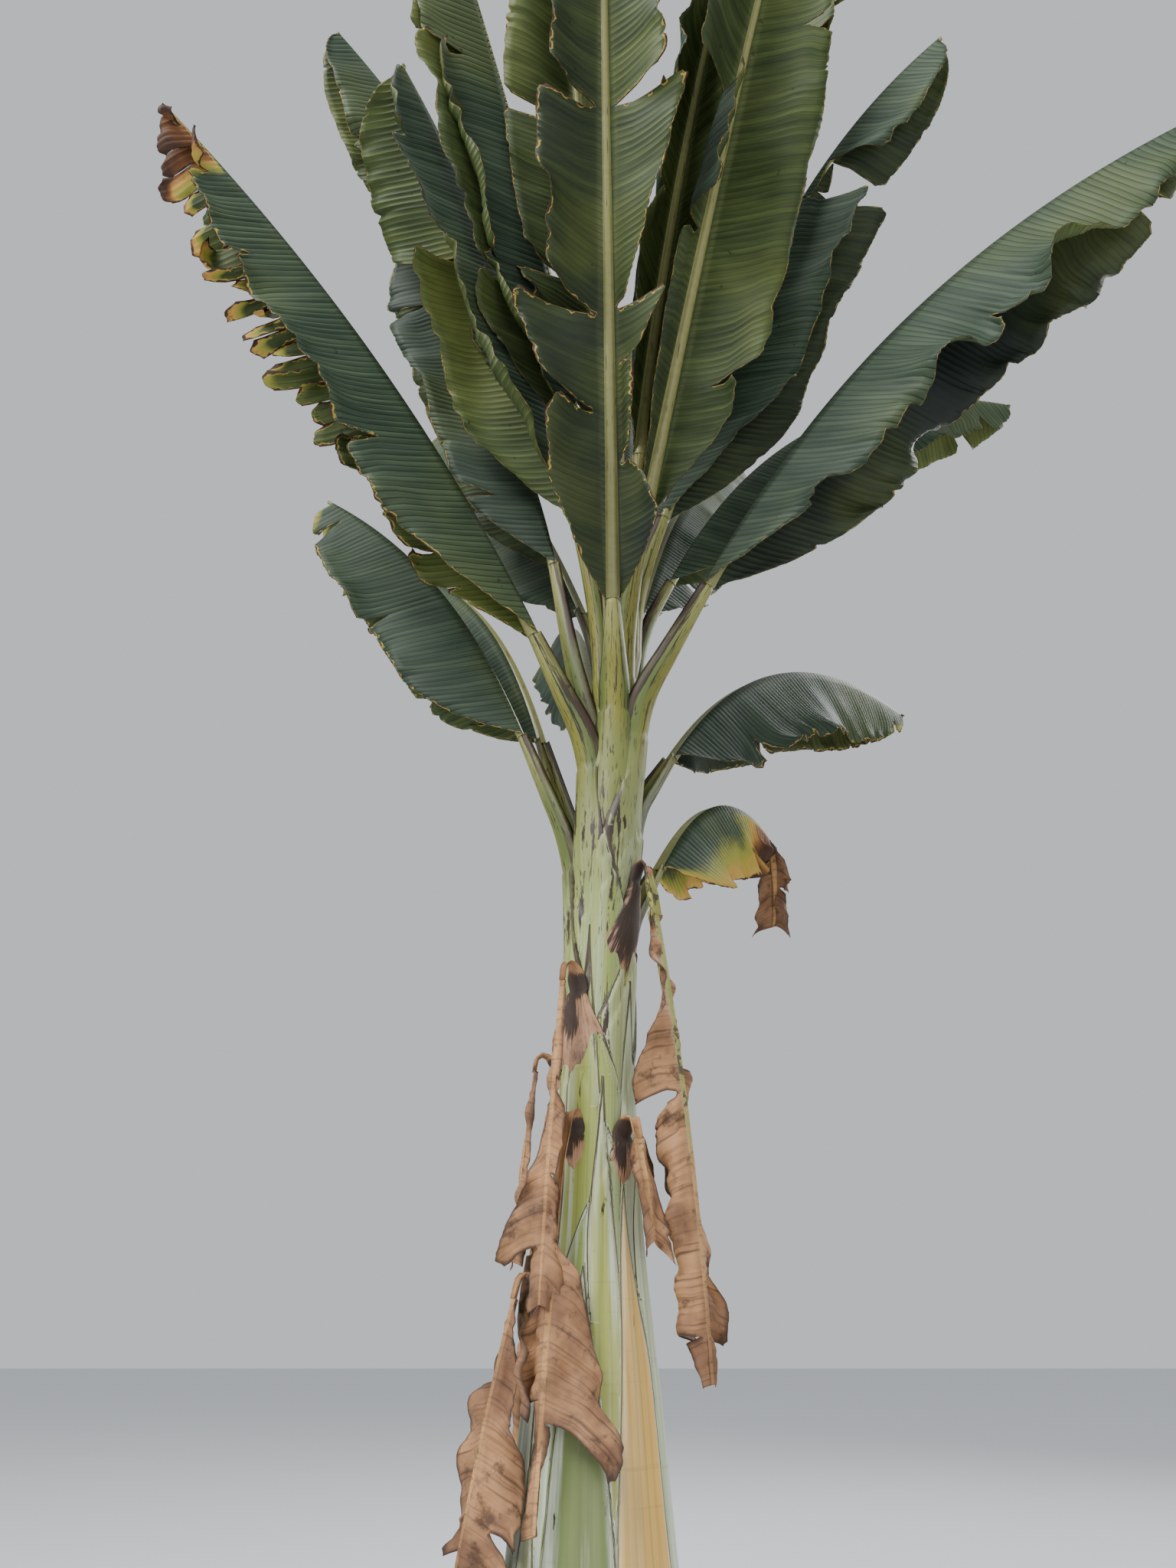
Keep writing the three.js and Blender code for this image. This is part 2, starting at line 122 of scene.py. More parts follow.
# Blades: where the half width is full, how roundly it grows and shrinks, and how much each half droops.
FULL_FROM = 0.28
FULL_TO = 0.6
GROW_POWER = 1.7
SHRINK_POWER = 2.3
DROOP = -10

# A midrib's half width and depth at its foot and tip, and how much slighter a dead one is.
RIB_HALF = (0.028, 0.012)
RIB_DEPTH = (0.030, 0.007)
DEAD_RIB = (0.6, 0.4)

# Living leaves: azimuth, height on the trunk, slope at the blade's foot and tip, how late the blade bends,
# lengths of stalk and blade, half width, and the folds of both halves.
LEAF_KEYS = "az start rise tip bend stalk blade half plus minus".split()
LEAVES = {
    "yellowing": (50, 2.90, 54, -44, 1.9, 0.48, 1.12, 0.36, -75, -60),
    "low_left_back": (135, 3.12, 70, 30, 1.2, 0.80, 1.80, 0.36, -70, -75),
    "low_left": (168, 3.20, 68, 35, 1.3, 0.64, 1.70, 0.38, -60, -70),
    "low_right": (42, 3.36, 55, -12, 1.2, 0.50, 2.15, 0.38, -75, -60),
    "back": (98, 3.50, 60, 15, 1.2, 0.60, 2.30, 0.38, -60, -65),
    "long_left": (208, 3.60, 61, 38, 1.0, 0.60, 2.70, 0.40, -70, -80),
    "long_right": (333, 3.75, 56, 8, 1.3, 0.70, 2.70, 0.43, -75, -45),
    "left": (183, 3.75, 80, 60, 0.8, 0.85, 2.00, 0.35, -55, -85),
    "right_back": (16, 3.98, 64, 2, 1.3, 0.60, 2.60, 0.38, -70, -60),
    "front": (268, 3.84, 68, 60, 1.5, 0.45, 2.75, 0.33, -26, -32),
    "back_right": (62, 3.90, 66, 34, 1.2, 0.62, 2.50, 0.38, -60, -60),
    "back_left": (130, 3.95, 66, 48, 1.2, 0.55, 2.20, 0.38, -60, -60),
    "front_right": (297, 4.00, 64, 57, 1.5, 0.72, 2.60, 0.36, -25, -45),
    "left_front": (222, 4.00, 72, 48, 1.2, 0.80, 2.15, 0.38, -32, -85),
    "left_upper": (236, 4.10, 72, 55, 1.2, 1.00, 2.50, 0.38, -66, -108),
    "upper_back": (84, 4.10, 78, 56, 1.2, 0.80, 2.40, 0.36, -50, -50),
    "right": (335, 4.15, 68, 30, 2.5, 0.65, 2.75, 0.38, -80, -55),
    "inner_right": (298, 4.15, 76, 60, 1.2, 0.90, 2.30, 0.34, -38, -80),
    "upper_right": (320, 4.15, 73, 60, 1.2, 1.00, 2.60, 0.36, -82, -85),
    "upper_left": (204, 4.20, 76, 44, 1.0, 0.90, 2.55, 0.36, -68, -85),
    "inner_front": (256, 4.20, 76, 62, 1.2, 0.90, 2.40, 0.36, -54, -60),
    "upper_back_left": (155, 4.20, 80, 58, 1.2, 0.90, 2.40, 0.34, -50, -50),
}
# Dead leaves have besides: a first slope, how soon they turn down, how wide the foot spreads, and if green.
DEAD_KEYS = "az start first rise tip turn spread green stalk blade half plus minus".split()
DEAD_LEAVES = {
    "dead_right": (338, 3.13, 75, -80, -88, 0.05, 0.2, 1, 0.28, 1.56, 0.150, -30, -35),
    "dead_left": (234, 2.70, 75, -82, -86, 0.12, 0.14, 0, 0.20, 1.05, 0.150, -30, -30),
    "dead_strip": (190, 2.42, 60, -82, -86, 0.08, 0.04, 0, 0.16, 0.62, 0.055, -20, -20),
    "dead_small_right": (310, 2.20, 60, -74, -80, 0.05, 0.06, 0, 0.16, 0.33, 0.070, -20, -20),
    "dead_front": (242, 2.20, 65, -81, -84, 0.08, 0.04, 0, 0.52, 0.78, 0.140, -30, -30),
    "dead_low_left": (205, 1.70, 65, -74, -82, 0.08, 0.09, 0, 0.18, 1.08, 0.160, -35, -30),
    "dead_back": (78, 2.78, 75, -78, -86, 0.06, 0.12, 1, 0.21, 1.45, 0.150, -35, -30),
    "dead_back_left": (138, 2.25, 70, -78, -86, 0.08, 0.1, 0, 0.19, 1.15, 0.140, -30, -35),
}
SINGLE = ("dead_strip", "dead_small_right")

# The dead end that hangs from the yellowing leaf.
DEAD_TIP = {
    "az": 50, "rise": -80, "tip": -102, "turn": 0, "bend": 0.5, "green": 0,
    "stalk": 0, "blade": 0.40, "half": 0.10, "plus": -50, "minus": -50,
}

# Dead stalks: how wide a strap each ends in, how its torn foot slants, and how far down the foot is scorched.
STRAP = {"dead_right": 2.2, "dead_left": 0.65, "dead_front": 0.75}
SLANT = {"dead_right": 0.35}
SCORCH = {"dead_right": 1.05, "dead_left": 0.5}
USUAL_SCORCH = 0.66

# Tears part a half into panels. Each panel: where it ends, how deep the tear there goes, how far its fold
# differs from the rule's at its start and end, its share of the width there, and how far its margin curls.
# What a row leaves out at its end is as in WHOLE.
WHOLE = (1, 0, 0, 0, 1, 1, 0)
PANELS = {
    ("front", 1): [
        (0.27, 0.85, 0, -6, 1.15, 0.8), (0.42, 0.92, -10, 22, 0.85, 1.2, -10),
        (0.725, 0.92, -12, -6, 0.95, 0.9), (1, 0, -10, -4, 0.8),
    ],
    ("front", -1): [
        (0.20, 0.85, -14, -6, 1.75, 0.2, -30), (0.34, 0.9, -45, -30, 0.3, 0.35, 60),
        (0.43, 0.9, 0, 8, 0.35, 0.8), (0.72, 0.95, -10, 14, 0.2, 1.15), (0.9, 0.5, -6, 0, 0.95), WHOLE,
    ],
    ("left_front", 1): [(0.58, 0.95, -44, -38), (1, 0, 8, 4, 1.05, 1.25, 20)],
    ("left_front", -1): [(0.55, 0.3, 0, 0, 1, 1, 90), (0.8, 0.3, 0, 5, 1, 1, 60), (1, 0, 0, 0, 1, 1, 120)],
    ("left_upper", -1): [(0.3, 0.2, 0, 0, 1, 1, 80), (0.7, 0.5, 0, 0, 1, 1, 110), (1, 0, 10, 20)],
    ("inner_front", 1): [(0.3, 0.6, 10, 14), (0.62, 0.8, 22, 30, 0.9), (1, 0, 24, 24)],
    ("front_right", 1): [
        (0.46, 0.8, 20, 10, 0.16, 0.3, 30), (0.66, 0.9, -62, -58, 0.95, 0.9, 40), (1, 0, -5, 0, 0.9),
    ],
    ("front_right", -1): [
        (0.2, 0.5, -20, -20, 0.9, 0.9), (0.78, 0.3, -4, 0, 1, 1.05, 30), (1, 0, 6, 10, 1, 1.05),
    ],
    ("long_left", -1): [
        (0.34, 0.35, 0, 4), (0.7, 0.3, 0, 0, 1, 0.85, 20), (0.86, 0.5, 0, 10, 0.8, 0.75),
        (0.91, 0.9, 40, 60, 0.8, 0.7, 90), (0.955, 0.9, -20, 0, 0.9, 0.8, -80), (1, 0, 50, 30, 1, 1, 120),
    ],
    ("right", 1): [(0.63, 0.9, 0), (0.71, 0.9, 0, 0, 0.16, 0.05), (1, 0, 24, 10, 0.8)],
    ("right", -1): [(0.66, 0.9, 0, -24, 1, 1, 30), (0.72, 0.9, 0, 0, 0.2, 0.05), (1, 0, 20, 0, 0.8)],
    ("long_right", -1): [(0.88, 0.75, 0), (1, 0, -25, -25, 0.8, 1, 30)],
    ("long_right", 1): [(0.55, 0.25, 0), WHOLE],
    ("dead_right", 1): [
        (0.42, 0.9, -15, -40, 0.1, 1.35, 40), (0.90, 0.8, -20, -55, 0.8, 1.4, -70),
        (1, 0, -30, -30, 0.5, 0.2),
    ],
    ("dead_right", -1): [
        (0.36, 0.9, 0, 0, 0.1, 0.15), (0.66, 0.9, 60, 40, 0.4, 1.2, -70),
        (0.9, 0.9, 20, 60, 0.5, 1, 80), (1, 0, 0, 0, 0.4, 0.1),
    ],
    ("dead_left", 1): [
        (0.4, 0.9, 0, 0, 0.05, 0.14), (0.84, 0.9, 10, 35, 0.14, 1.1, 60), (1, 0, -20, -20, 0.6, 0.3, 30),
    ],
    ("dead_left", -1): [
        (0.34, 0.9, 0, 0, 0.05, 0.12), (0.62, 0.9, -10, 0, 0.12, 0.6, 100), (1, 0, -30, -20, 0.3, 0.5, -90),
    ],
    ("dead_strip", 1): [(1, 0, 0, -30, 0.3, 1, 60)],
    ("dead_strip", -1): [(1, 0, -20, -40, 0.3, 0.9, -50)],
    ("dead_small_right", 1): [(1, 0, 0, 10, 0.3, 1.0, 90)],
    ("dead_small_right", -1): [(1, 0, 30, 20, 0.3, 1.2, 60)],
    ("dead_front", 1): [
        (0.2, 0.3, -5, 0, 0.1, 0.3, 30), (0.58, 0.93, 0, 30, 0.3, 1.4, 210), (1, 0, 0, 0, 0.08, 0.3, 60),
    ],
    ("dead_front", -1): [(0.64, 0.95, -4, 12, 0.45, 2.0, 10), (1, 0, 0, 0, 0.08, 0.02)],
    ("dead_low_left", 1): [
        (0.2, 0.9, 0, 0, 0.15, 0.5), (0.62, 0.8, 15, 40, 0.7, 1.6, 40), (1, 0, 25, 10, 1.3, 1.5, -90),
    ],
    ("dead_low_left", -1): [(0.55, 0.6, 0, 10, 0.15, 1.3, 20), (1, 0, -10, 0, 1.2, 1.5, 60)],
    ("yellowing_tip", 1): [(0.5, 0.8, 0, 0, 0.5, 1.1, 70), (1, 0, 10, 30, 0.5, 0.9, 110)],
    ("yellowing_tip", -1): [(1, 0, 10, 20, 0.5, 1, 100)],
}
SAME_PANELS = {"dead_back": "dead_right", "dead_back_left": "dead_left"}

# How worn each other half is: the spacing of tears in metres, and how deep they go as a share of the half.
WORN = {("low_left", 1): (0.3, 0.5), ("low_left_back", 1): (0.4, 0.4), ("back", 1): (0.3, 0.6)}
USUAL_WEAR = (1.1, 0.4)

# The half that the wind has torn to strips, like a comb.
COMB = ("long_left", 1)

# How far from a free edge dry tissue reaches, as a divisor: a small number is a worn leaf.
BORDER = {"front": 1.1, "long_left": 1, "yellowing": 0.8, "low_right": 1, "low_left": 1.4, "inner_front": 1.8}
USUAL_BORDER = 3

# Blades that others shade: how much darker they are at base and tip, for the plus half and the minus half.
SHADE = {
    "front": (0.95, 0.55, 0.95, 0.2), "front_right": (0.6, 0.3, 0.25, 0.1),
    "long_right": (0.4, 0.05, 0.9, 0.85), "right": (0, 0, 0.6, 0.5), "low_right": (0.35, 0.2, 0.8, 0.6),
    "left_upper": (0.4, 0.15, 0, 0), "inner_front": (0.5, 0.2, 0.5, 0.2), "left": (0.3, 0.3, 0.3, 0.3),
    "upper_left": (0.4, 0.3, 0.4, 0.3), "low_left": (0, 0, 0.3, 0.1), "long_left": (0, 0, 0.2, 0.0),
}

# How much more than usual a blade's halves wave.
WAVY = {"long_right": 1.9, "low_right": 1.5, "yellowing": 1.5}

# The mesh of a blade: spacing of its lateral ribs, rows for each, and strips from the midrib to the margin.
RIB_PITCH = 0.028
ROWS_PER_RIB = 4
STRIPS = 9
RIB_HEIGHT = 0.0021
ROW_PLACES = np.array([0, 0.15, 0.5, 0.85])
RIB_PLACES = np.array([-1, -0.8, -0.4, 0.4, 0.8, 1])
RIB_END = STRIPS + len(RIB_PLACES)
BLADE_COLUMNS = RIB_END + STRIPS
THICKNESS = (0.0034, 0.0018)

# Nicks in a margin: how many in each metre, how deep and how long. Corners beside a tear: how they turn.
DEAD_NICKS = 4
FRESH_NICKS = 1.6
NICK_DEPTH = (0.004, 0.022)
NICK_LENGTH = (0.008, 0.03)
CORNER_TURN = (-42, 14)
CORNER_REACH = 0.09
THINNEST = 0.002


def lerp(a, b, share):
    return a + (b - a) * share


def smooth(x):
    x = np.clip(x, 0, 1)
    return x * x * (3 - 2 * x)


def outward(azimuth):
    return np.array([math.cos(math.radians(azimuth)), math.sin(math.radians(azimuth)), 0.0])


def trunk_radius(z):
    heights, radii = zip(*TRUNK_RADII)
    return np.interp(z, heights, radii)


def trunk_axis(z):
    x = LEAN * (min(z, LEAN_HEIGHT) / LEAN_HEIGHT) ** 3 + max(z - LEAN_HEIGHT, 0) * LEAN_ABOVE
    return np.array([x, 0.0, z])


def wander(rng, x, pitch):
    """Smooth random values from -1 to 1 along x."""
    at = (x - np.min(x)) / pitch
    knots = rng.uniform(-1, 1, int(np.max(at)) + 3)
    low = at.astype(int)
    return lerp(knots[low], knots[low + 1], smooth(at - low))


def field(rng, x, y, pitch_x, pitch_y):
    """Smooth random values from -1 to 1 over the plane of x and y, two arrays of one shape."""
    across, up = (x - x.min()) / pitch_x, (y - y.min()) / pitch_y
    knots = rng.uniform(-1, 1, (int(across.max()) + 3, int(up.max()) + 3))
    i, j = across.astype(int), up.astype(int)
    low = lerp(knots[i, j], knots[i + 1, j], smooth(across - i))
    high = lerp(knots[i, j + 1], knots[i + 1, j + 1], smooth(across - i))
    return lerp(low, high, smooth(up - j))


def leaf_of(keys, row, **more):
    """One leaf's row as named values, with its kind and a tone of its own between 0.3 and 0.78."""
    leaf = SimpleNamespace(**dict(zip(keys, row)), **more)
    leaf.kind = "dead" if leaf.dead else "heart" if leaf.start >= HEART_HEIGHT else "trunk"
    leaf.tone = 0.3 + 0.48 * (leaf.start * 7.31 % 1)
    return leaf


def course_of(leaf, start=None):
    """The line that the stalk and the midrib follow: distances, places and slopes."""
    total = leaf.stalk + leaf.blade
    s = np.linspace(0, total, round(total / STEP * (4 if leaf.dead else 1)) + 1)
    if leaf.dead and leaf.turn:
        rise = lerp(leaf.first, lerp(leaf.rise, leaf.tip, s / total), smooth((s - 0.05) / leaf.turn))
    else:
        bent = smooth(s / max(leaf.stalk, STEP) * HURRY[leaf.kind])
        on_stalk = lerp(FIRST_RISE.get(leaf.kind, 0), leaf.rise, bent)
        on_blade = lerp(leaf.rise, leaf.tip, np.clip((s - leaf.stalk) / leaf.blade, 0, 1) ** leaf.bend)
        rise = np.where(s < leaf.stalk, on_stalk, on_blade)
    rise = np.radians(rise)
    h = outward(leaf.az)
    along = np.outer(np.cos(rise), h) + np.outer(np.sin(rise), UP)
    if start is None:
        start = trunk_axis(leaf.start) + h * trunk_radius(leaf.start)
    places = start + np.vstack([np.zeros(3), np.cumsum(along[:-1] * s[1], axis=0)])
    return SimpleNamespace(s=s, places=places, rise=rise, h=h, B=np.cross(h, UP))


def frames_at(course, s):
    """Places, T along, N to the upper side, and B across, at distances s."""
    rise = np.interp(s, course.s, course.rise)
    P = np.stack([np.interp(s, course.s, course.places[:, i]) for i in range(3)], axis=1)
    T = np.outer(np.cos(rise), course.h) + np.outer(np.sin(rise), UP)
    N = np.outer(-np.sin(rise), course.h) + np.outer(np.cos(rise), UP)
    return P, T, N, np.tile(course.B, (len(s), 1))


def half_width(leaf, u):
    grow = 1 - (1 - np.clip(u / FULL_FROM, 0, 1)) ** GROW_POWER
    past = np.clip((u - FULL_TO) / (1 - FULL_TO), 0, 1)
    return leaf.half * grow * np.sqrt(1 - past ** SHRINK_POWER)


def quads_of(index):
    """The quads of a grid of point numbers."""
    return np.stack([index[:-1, :-1], index[:-1, 1:], index[1:, 1:], index[1:, :-1]], axis=-1)


def shell(top, bottom, quads):
    """Faces of a thin closed mesh between two matching sheets, given the quads of the upper one."""
    count = len(top)
    a = quads.ravel()
    b = np.roll(quads, -1, axis=1).ravel()
    border = ~np.isin(a * count + b, b * count + a)
    a, b = a[border], b[border]
    walls = np.stack([b, a, a + count, b + count], axis=1)
    return np.vstack([top, bottom]), np.vstack([quads, quads[:, ::-1] + count, walls])


def object_of(name, points, quads, materials, slots=None, values=None, ngons=()):
    """A smooth mesh object with one named number at each point for every entry of values."""
    mesh = bpy.data.meshes.new(name)
    corners = np.concatenate([quads.ravel(), *[np.asarray(n) for n in ngons]]).astype(np.int32)
    sizes = np.concatenate([np.full(len(quads), 4), [len(n) for n in ngons]]).astype(np.int32)
    mesh.vertices.add(len(points))
    mesh.vertices.foreach_set("co", np.asarray(points, np.float32).ravel())
    mesh.loops.add(len(corners))
    mesh.loops.foreach_set("vertex_index", corners)
    mesh.polygons.add(len(sizes))
    mesh.polygons.foreach_set("loop_start", np.concatenate([[0], np.cumsum(sizes)[:-1]]).astype(np.int32))
    if slots is not None:
        mesh.polygons.foreach_set("material_index", np.asarray(slots, np.int32))
    mesh.update(calc_edges=True)
    mesh.validate()
    mesh.shade_smooth()
    for key, numbers in (values or {}).items():
        layer = mesh.attributes.new(key, "FLOAT", "POINT")
        layer.data.foreach_set("value", np.asarray(numbers, np.float32))
    for material in materials:
        mesh.materials.append(material)
    piece = bpy.data.objects.new(name, mesh)
    bpy.context.scene.collection.objects.link(piece)
    return piece


def place_piece(piece, node):
    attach(piece, "root")
    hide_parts(node)


def linear(colour):
    """A colour given in the 0 to 255 of a screen, as linear light that covers fully."""
    return (*((c / 255 / 12.92) if c < 10.3 else ((c / 255 + 0.055) / 1.055) ** 2.4 for c in colour), 1)


class Shader:
    """Short calls that build the nodes of one material."""

    def __init__(self, name):
        self.material = bpy.data.materials.new(name)
        self.material.use_nodes = True
        self.nodes = self.material.node_tree.nodes
        self.links = self.material.node_tree.links
        self.nodes.clear()
        out = self.nodes.new("ShaderNodeOutputMaterial")
        self.surface = self.nodes.new("ShaderNodeBsdfPrincipled")
        self.links.new(self.surface.outputs[0], out.inputs[0])

    def set(self, socket, value):
        if isinstance(value, bpy.types.NodeSocket):
            self.links.new(value, socket)
        else:
            socket.default_value = linear(value) if isinstance(value, tuple) else value

    def fill(self, node, *values):
        for socket, value in zip(node.inputs, values):
            self.set(socket, value)
        return node.outputs[0]

    def number(self, name):
        node = self.nodes.new("ShaderNodeAttribute")
        node.attribute_name = name
        return node.outputs["Fac"]

    def math(self, operation, a, b=0.0, c=0.0):
        node = self.nodes.new("ShaderNodeMath")
        node.operation = operation
        return self.fill(node, a, b, c)

    def times(self, a, b):
        return self.math("MULTIPLY", a, b)

    def times_add(self, a, b, c):
        return self.math("MULTIPLY_ADD", a, b, c)

    def place(self):
        return self.nodes.new("ShaderNodeTexCoord").outputs["Object"]

    def spot(self, *numbers):
        """A place for noise, made of numbers or of pairs of a number and its scale."""
        scaled = [self.times(*number) if isinstance(number, tuple) else number for number in numbers]
        return self.fill(self.nodes.new("ShaderNodeCombineXYZ"), *scaled)

    def noise(self, place, scale, detail=3.0, rough=0.5):
        node = self.nodes.new("ShaderNodeTexNoise")
        for key, value in (("Vector", place), ("Scale", scale), ("Detail", detail), ("Roughness", rough)):
            self.set(node.inputs[key], value)
        return node.outputs["Fac"]

    def range(self, value, low, high, to_low=0.0, to_high=1.0):
        node = self.nodes.new("ShaderNodeMapRange")
        node.interpolation_type = "SMOOTHSTEP"
        return self.fill(node, value, low, high, to_low, to_high)

    def mix(self, share, a, b):
        node = self.nodes.new("ShaderNodeMix")
        node.data_type = "RGBA"
        self.set(node.inputs["Factor"], share)
        self.set(node.inputs[6], a)
        self.set(node.inputs[7], b)
        return node.outputs[2]

    def cover(self, under, over, value, *span):
        """One colour over another where a value passes a span: low, high, and the share over at each."""
        return self.mix(self.range(value, *span), under, over)

    def ramp(self, value, stops):
        node = self.nodes.new("ShaderNodeValToRGB")
        self.set(node.inputs[0], value)
        ramp = node.color_ramp
        for place, _ in stops[2:]:
            ramp.elements.new(place)
        for element, (place, colour) in zip(ramp.elements, stops):
            element.position = place
            element.color = linear(colour)
        return node.outputs[0]

    def bump(self, height, distance, strength=1.0):
        node = self.nodes.new("ShaderNodeBump")
        node.inputs["Strength"].default_value = strength
        node.inputs["Distance"].default_value = distance
        self.set(node.inputs["Height"], height)
        self.set(self.surface.inputs["Normal"], node.outputs[0])

    def finish(self, **values):
        for key, value in values.items():
            self.set(self.surface.inputs[key.replace("_", " ").title().replace("Ior", "IOR")], value)
        return self.material


# Colours are in the 0 to 255 of a screen. Tissue as it dries: from green through yellow to brown.
DRYING = [(0.42, (150, 148, 62)), (0.6, (190, 150, 72)), (0.8, (128, 84, 50)), (1.0, (74, 52, 40))]

# Tints of sheaths, from the greyest green to the orange of an old one.
SHEATH_TINTS = [
    (0.0, (92, 100, 66)), (0.18, (120, 134, 78)), (0.34, (136, 152, 80)), (0.52, (150, 160, 78)),
    (0.72, (170, 168, 78)), (0.86, (196, 174, 92)), (1.0, (214, 167, 80)),
]
WAX = (208, 217, 200)
PALE_INSIDE = (222, 222, 204)
FLOOR_GREY = (214, 216, 218)
SKY = (236, 240, 244)


def dried(shader, fresh, bite):
    """Fresh tissue with ragged dry borders up to bite metres wide, and brown wherever the dry number says."""
    ragged = shader.range(shader.noise(shader.place(), 26, 4), 0.40, 0.66, 0.04, 0.9)
    border = shader.range(shader.number("edge"), 0.0, shader.times(ragged, bite), 1, 0)
    border = shader.math("POWER", border, 0.5)
    patchy = shader.noise(shader.place(), 9, 4, 0.6)
    dry = shader.math("ADD", shader.number("dry"), shader.times_add(patchy, 0.5, -0.25))
    dry = shader.times(dry, shader.range(shader.number("dry"), 0.0, 0.15))
    most = shader.math("MAXIMUM", border, dry)
    colour = shader.cover(fresh, shader.ramp(most, DRYING), most, 0.1, 0.42)
    return shader.cover(colour, (58, 42, 33), border, 0.5, 0.9, 0, 0.85), most


def lamina_material(name, colours, line):
    """One side of a living blade: streaks along the lateral ribs, with a dark line between them that is
    partly vein colour and partly painted shade in the valleys, and painted shade where other blades shade it.
    """
    shader = Shader(name)
    deep, pale, yellow = colours
    phase, across = shader.number("phase"), shader.number("across")
    streak = shader.noise(shader.spot((phase, 0.8), (across, 2.5)), 1, 4)
    broad = shader.noise(shader.place(), 1.4, 3)
    fresh = shader.cover(deep, pale, streak, 0.3, 0.75)
    fresh = shader.cover(fresh, yellow, broad, 0.48, 0.72, 0, 0.6)
    fresh = shader.cover(fresh, yellow, across, 0.07, 0.02, 0, 0.15)
    veins = shader.noise(shader.spot((phase, 6.0), (across, 1.2)), 1, 2)
    fresh = shader.cover(fresh, (20, 26, 14), veins, 0.35, 0.7, 0.16, 0)
    # A dark line where the ribs' valleys lie on the upper side: partly vein colour, partly painted shade in
    # the valleys.
    fresh = shader.cover(fresh, (22, 30, 18), shader.math("PINGPONG", phase, 0.5), 0.13, 0.02, 0, line)
    spots = shader.noise(shader.place(), 30, 2, 0.4)
    fresh = shader.cover(fresh, (40, 34, 20), spots, 0.74, 0.78, 0, 0.7)
    # Painted shade: each half darkens by its shade number, unevenly with the broad noise, so that patches
    # stay lighter as if lit by sun.
    shaded = shader.times(shader.number("shade"), shader.range(broad, 0.38, 0.62, 1.15, 0.65))
    fresh = shader.mix(shaded, fresh, (22, 30, 26))
    colour, dry = dried(shader, fresh, 0.024)
    shader.bump(veins, 0.0012, 0.6)
    rough = shader.range(dry, 0.1, 0.6, 0.6, 0.8)
    return shader.finish(base_color=colour, roughness=rough, specular_ior_level=0.28)


def rib_material():
    shader = Shader("midrib")
    along, across = shader.number("along"), shader.number("across")
    grain = shader.noise(shader.spot((along, 3), across), 14, 3)
    fresh = shader.mix(grain, (128, 128, 72), (160, 157, 100))
    flecks = shader.noise(shader.spot((along, 9), (across, 110)), 1, 2)
    fresh = shader.cover(fresh, (52, 40, 24), flecks, 0.64, 0.72, 0, 0.8)
    fresh = shader.mix(shader.times(shader.number("shade"), 0.55), fresh, (44, 46, 24))
    colour, _ = dried(shader, fresh, 0.004)
    shader.bump(grain, 0.002, 0.4)
    return shader.finish(base_color=colour, roughness=0.42)


def sheath_colour(shader):
    """Sheaths rolled round each other: a tint for each, waxy bloom, painted light that makes the east side
    paler, fine grain, black blotches and flecks.
    """
    height, tone = shader.number("height"), shader.number("tone")
    east, north = shader.number("east"), shader.number("north")

    def streaks(up, round_it, detail, rough=0.5):
        """Noise stretched up the trunk, another pattern for each sheath."""
        rise = shader.times_add(height, up, shader.times(tone, 31))
        return shader.noise(shader.spot(rise, (east, round_it), (north, round_it)), 1, detail, rough)

    long_grain = streaks(0.45, 16, 4, 0.6)
    fine_grain = streaks(0.45, 90, 3)
    tint = shader.ramp(shader.times_add(long_grain, 0.4, shader.math("SUBTRACT", tone, 0.2)), SHEATH_TINTS)
    wax = streaks(0.6, 12, 5, 0.6)
    bloom = shader.times(shader.range(wax, 0.44, 0.60), shader.range(tone, 1.0, 0.8, 0.15, 1))
    bloom = shader.times(bloom, shader.range(height, 3.1, 1.5, 0.22, 0.95))
    # Painted light: the east side is paler, as if lit, mixed in with the real waxy bloom.
    east_bloom_and_light = shader.times(shader.range(east, 0.03, 0.16), shader.range(wax, 0.3, 0.6, 0.15, 0.6))
    east_bloom_and_light = shader.times(east_bloom_and_light, shader.range(tone, 0.95, 0.7))
    colour = shader.mix(shader.math("MAXIMUM", bloom, east_bloom_and_light), tint, WAX)
    colour = shader.cover(colour, (92, 104, 56), fine_grain, 0.3, 0.6, 0.30, 0)
    colour = shader.cover(colour, (112, 116, 60), height, 2.85, 3.5, 0, 0.85)
    rings = streaks(60, 3, 2)
    colour = shader.cover(colour, (110, 100, 60), rings, 0.62, 0.75, 0, 0.16)
    blotch = streaks(2.6, 12, 5, 0.68)
    fewer = shader.range(height, 1.6, 3.2, 0.05, -0.065)
    dark = shader.range(shader.math("SUBTRACT", blotch, fewer), 0.635, 0.665)
    flecks = shader.math("SUBTRACT", streaks(11, 80, 3), fewer)
    dark = shader.math("MAXIMUM", dark, shader.range(flecks, 0.68, 0.715, 0, 0.75))
    return shader.mix(dark, colour, (54, 42, 34)), blotch, long_grain, fine_grain


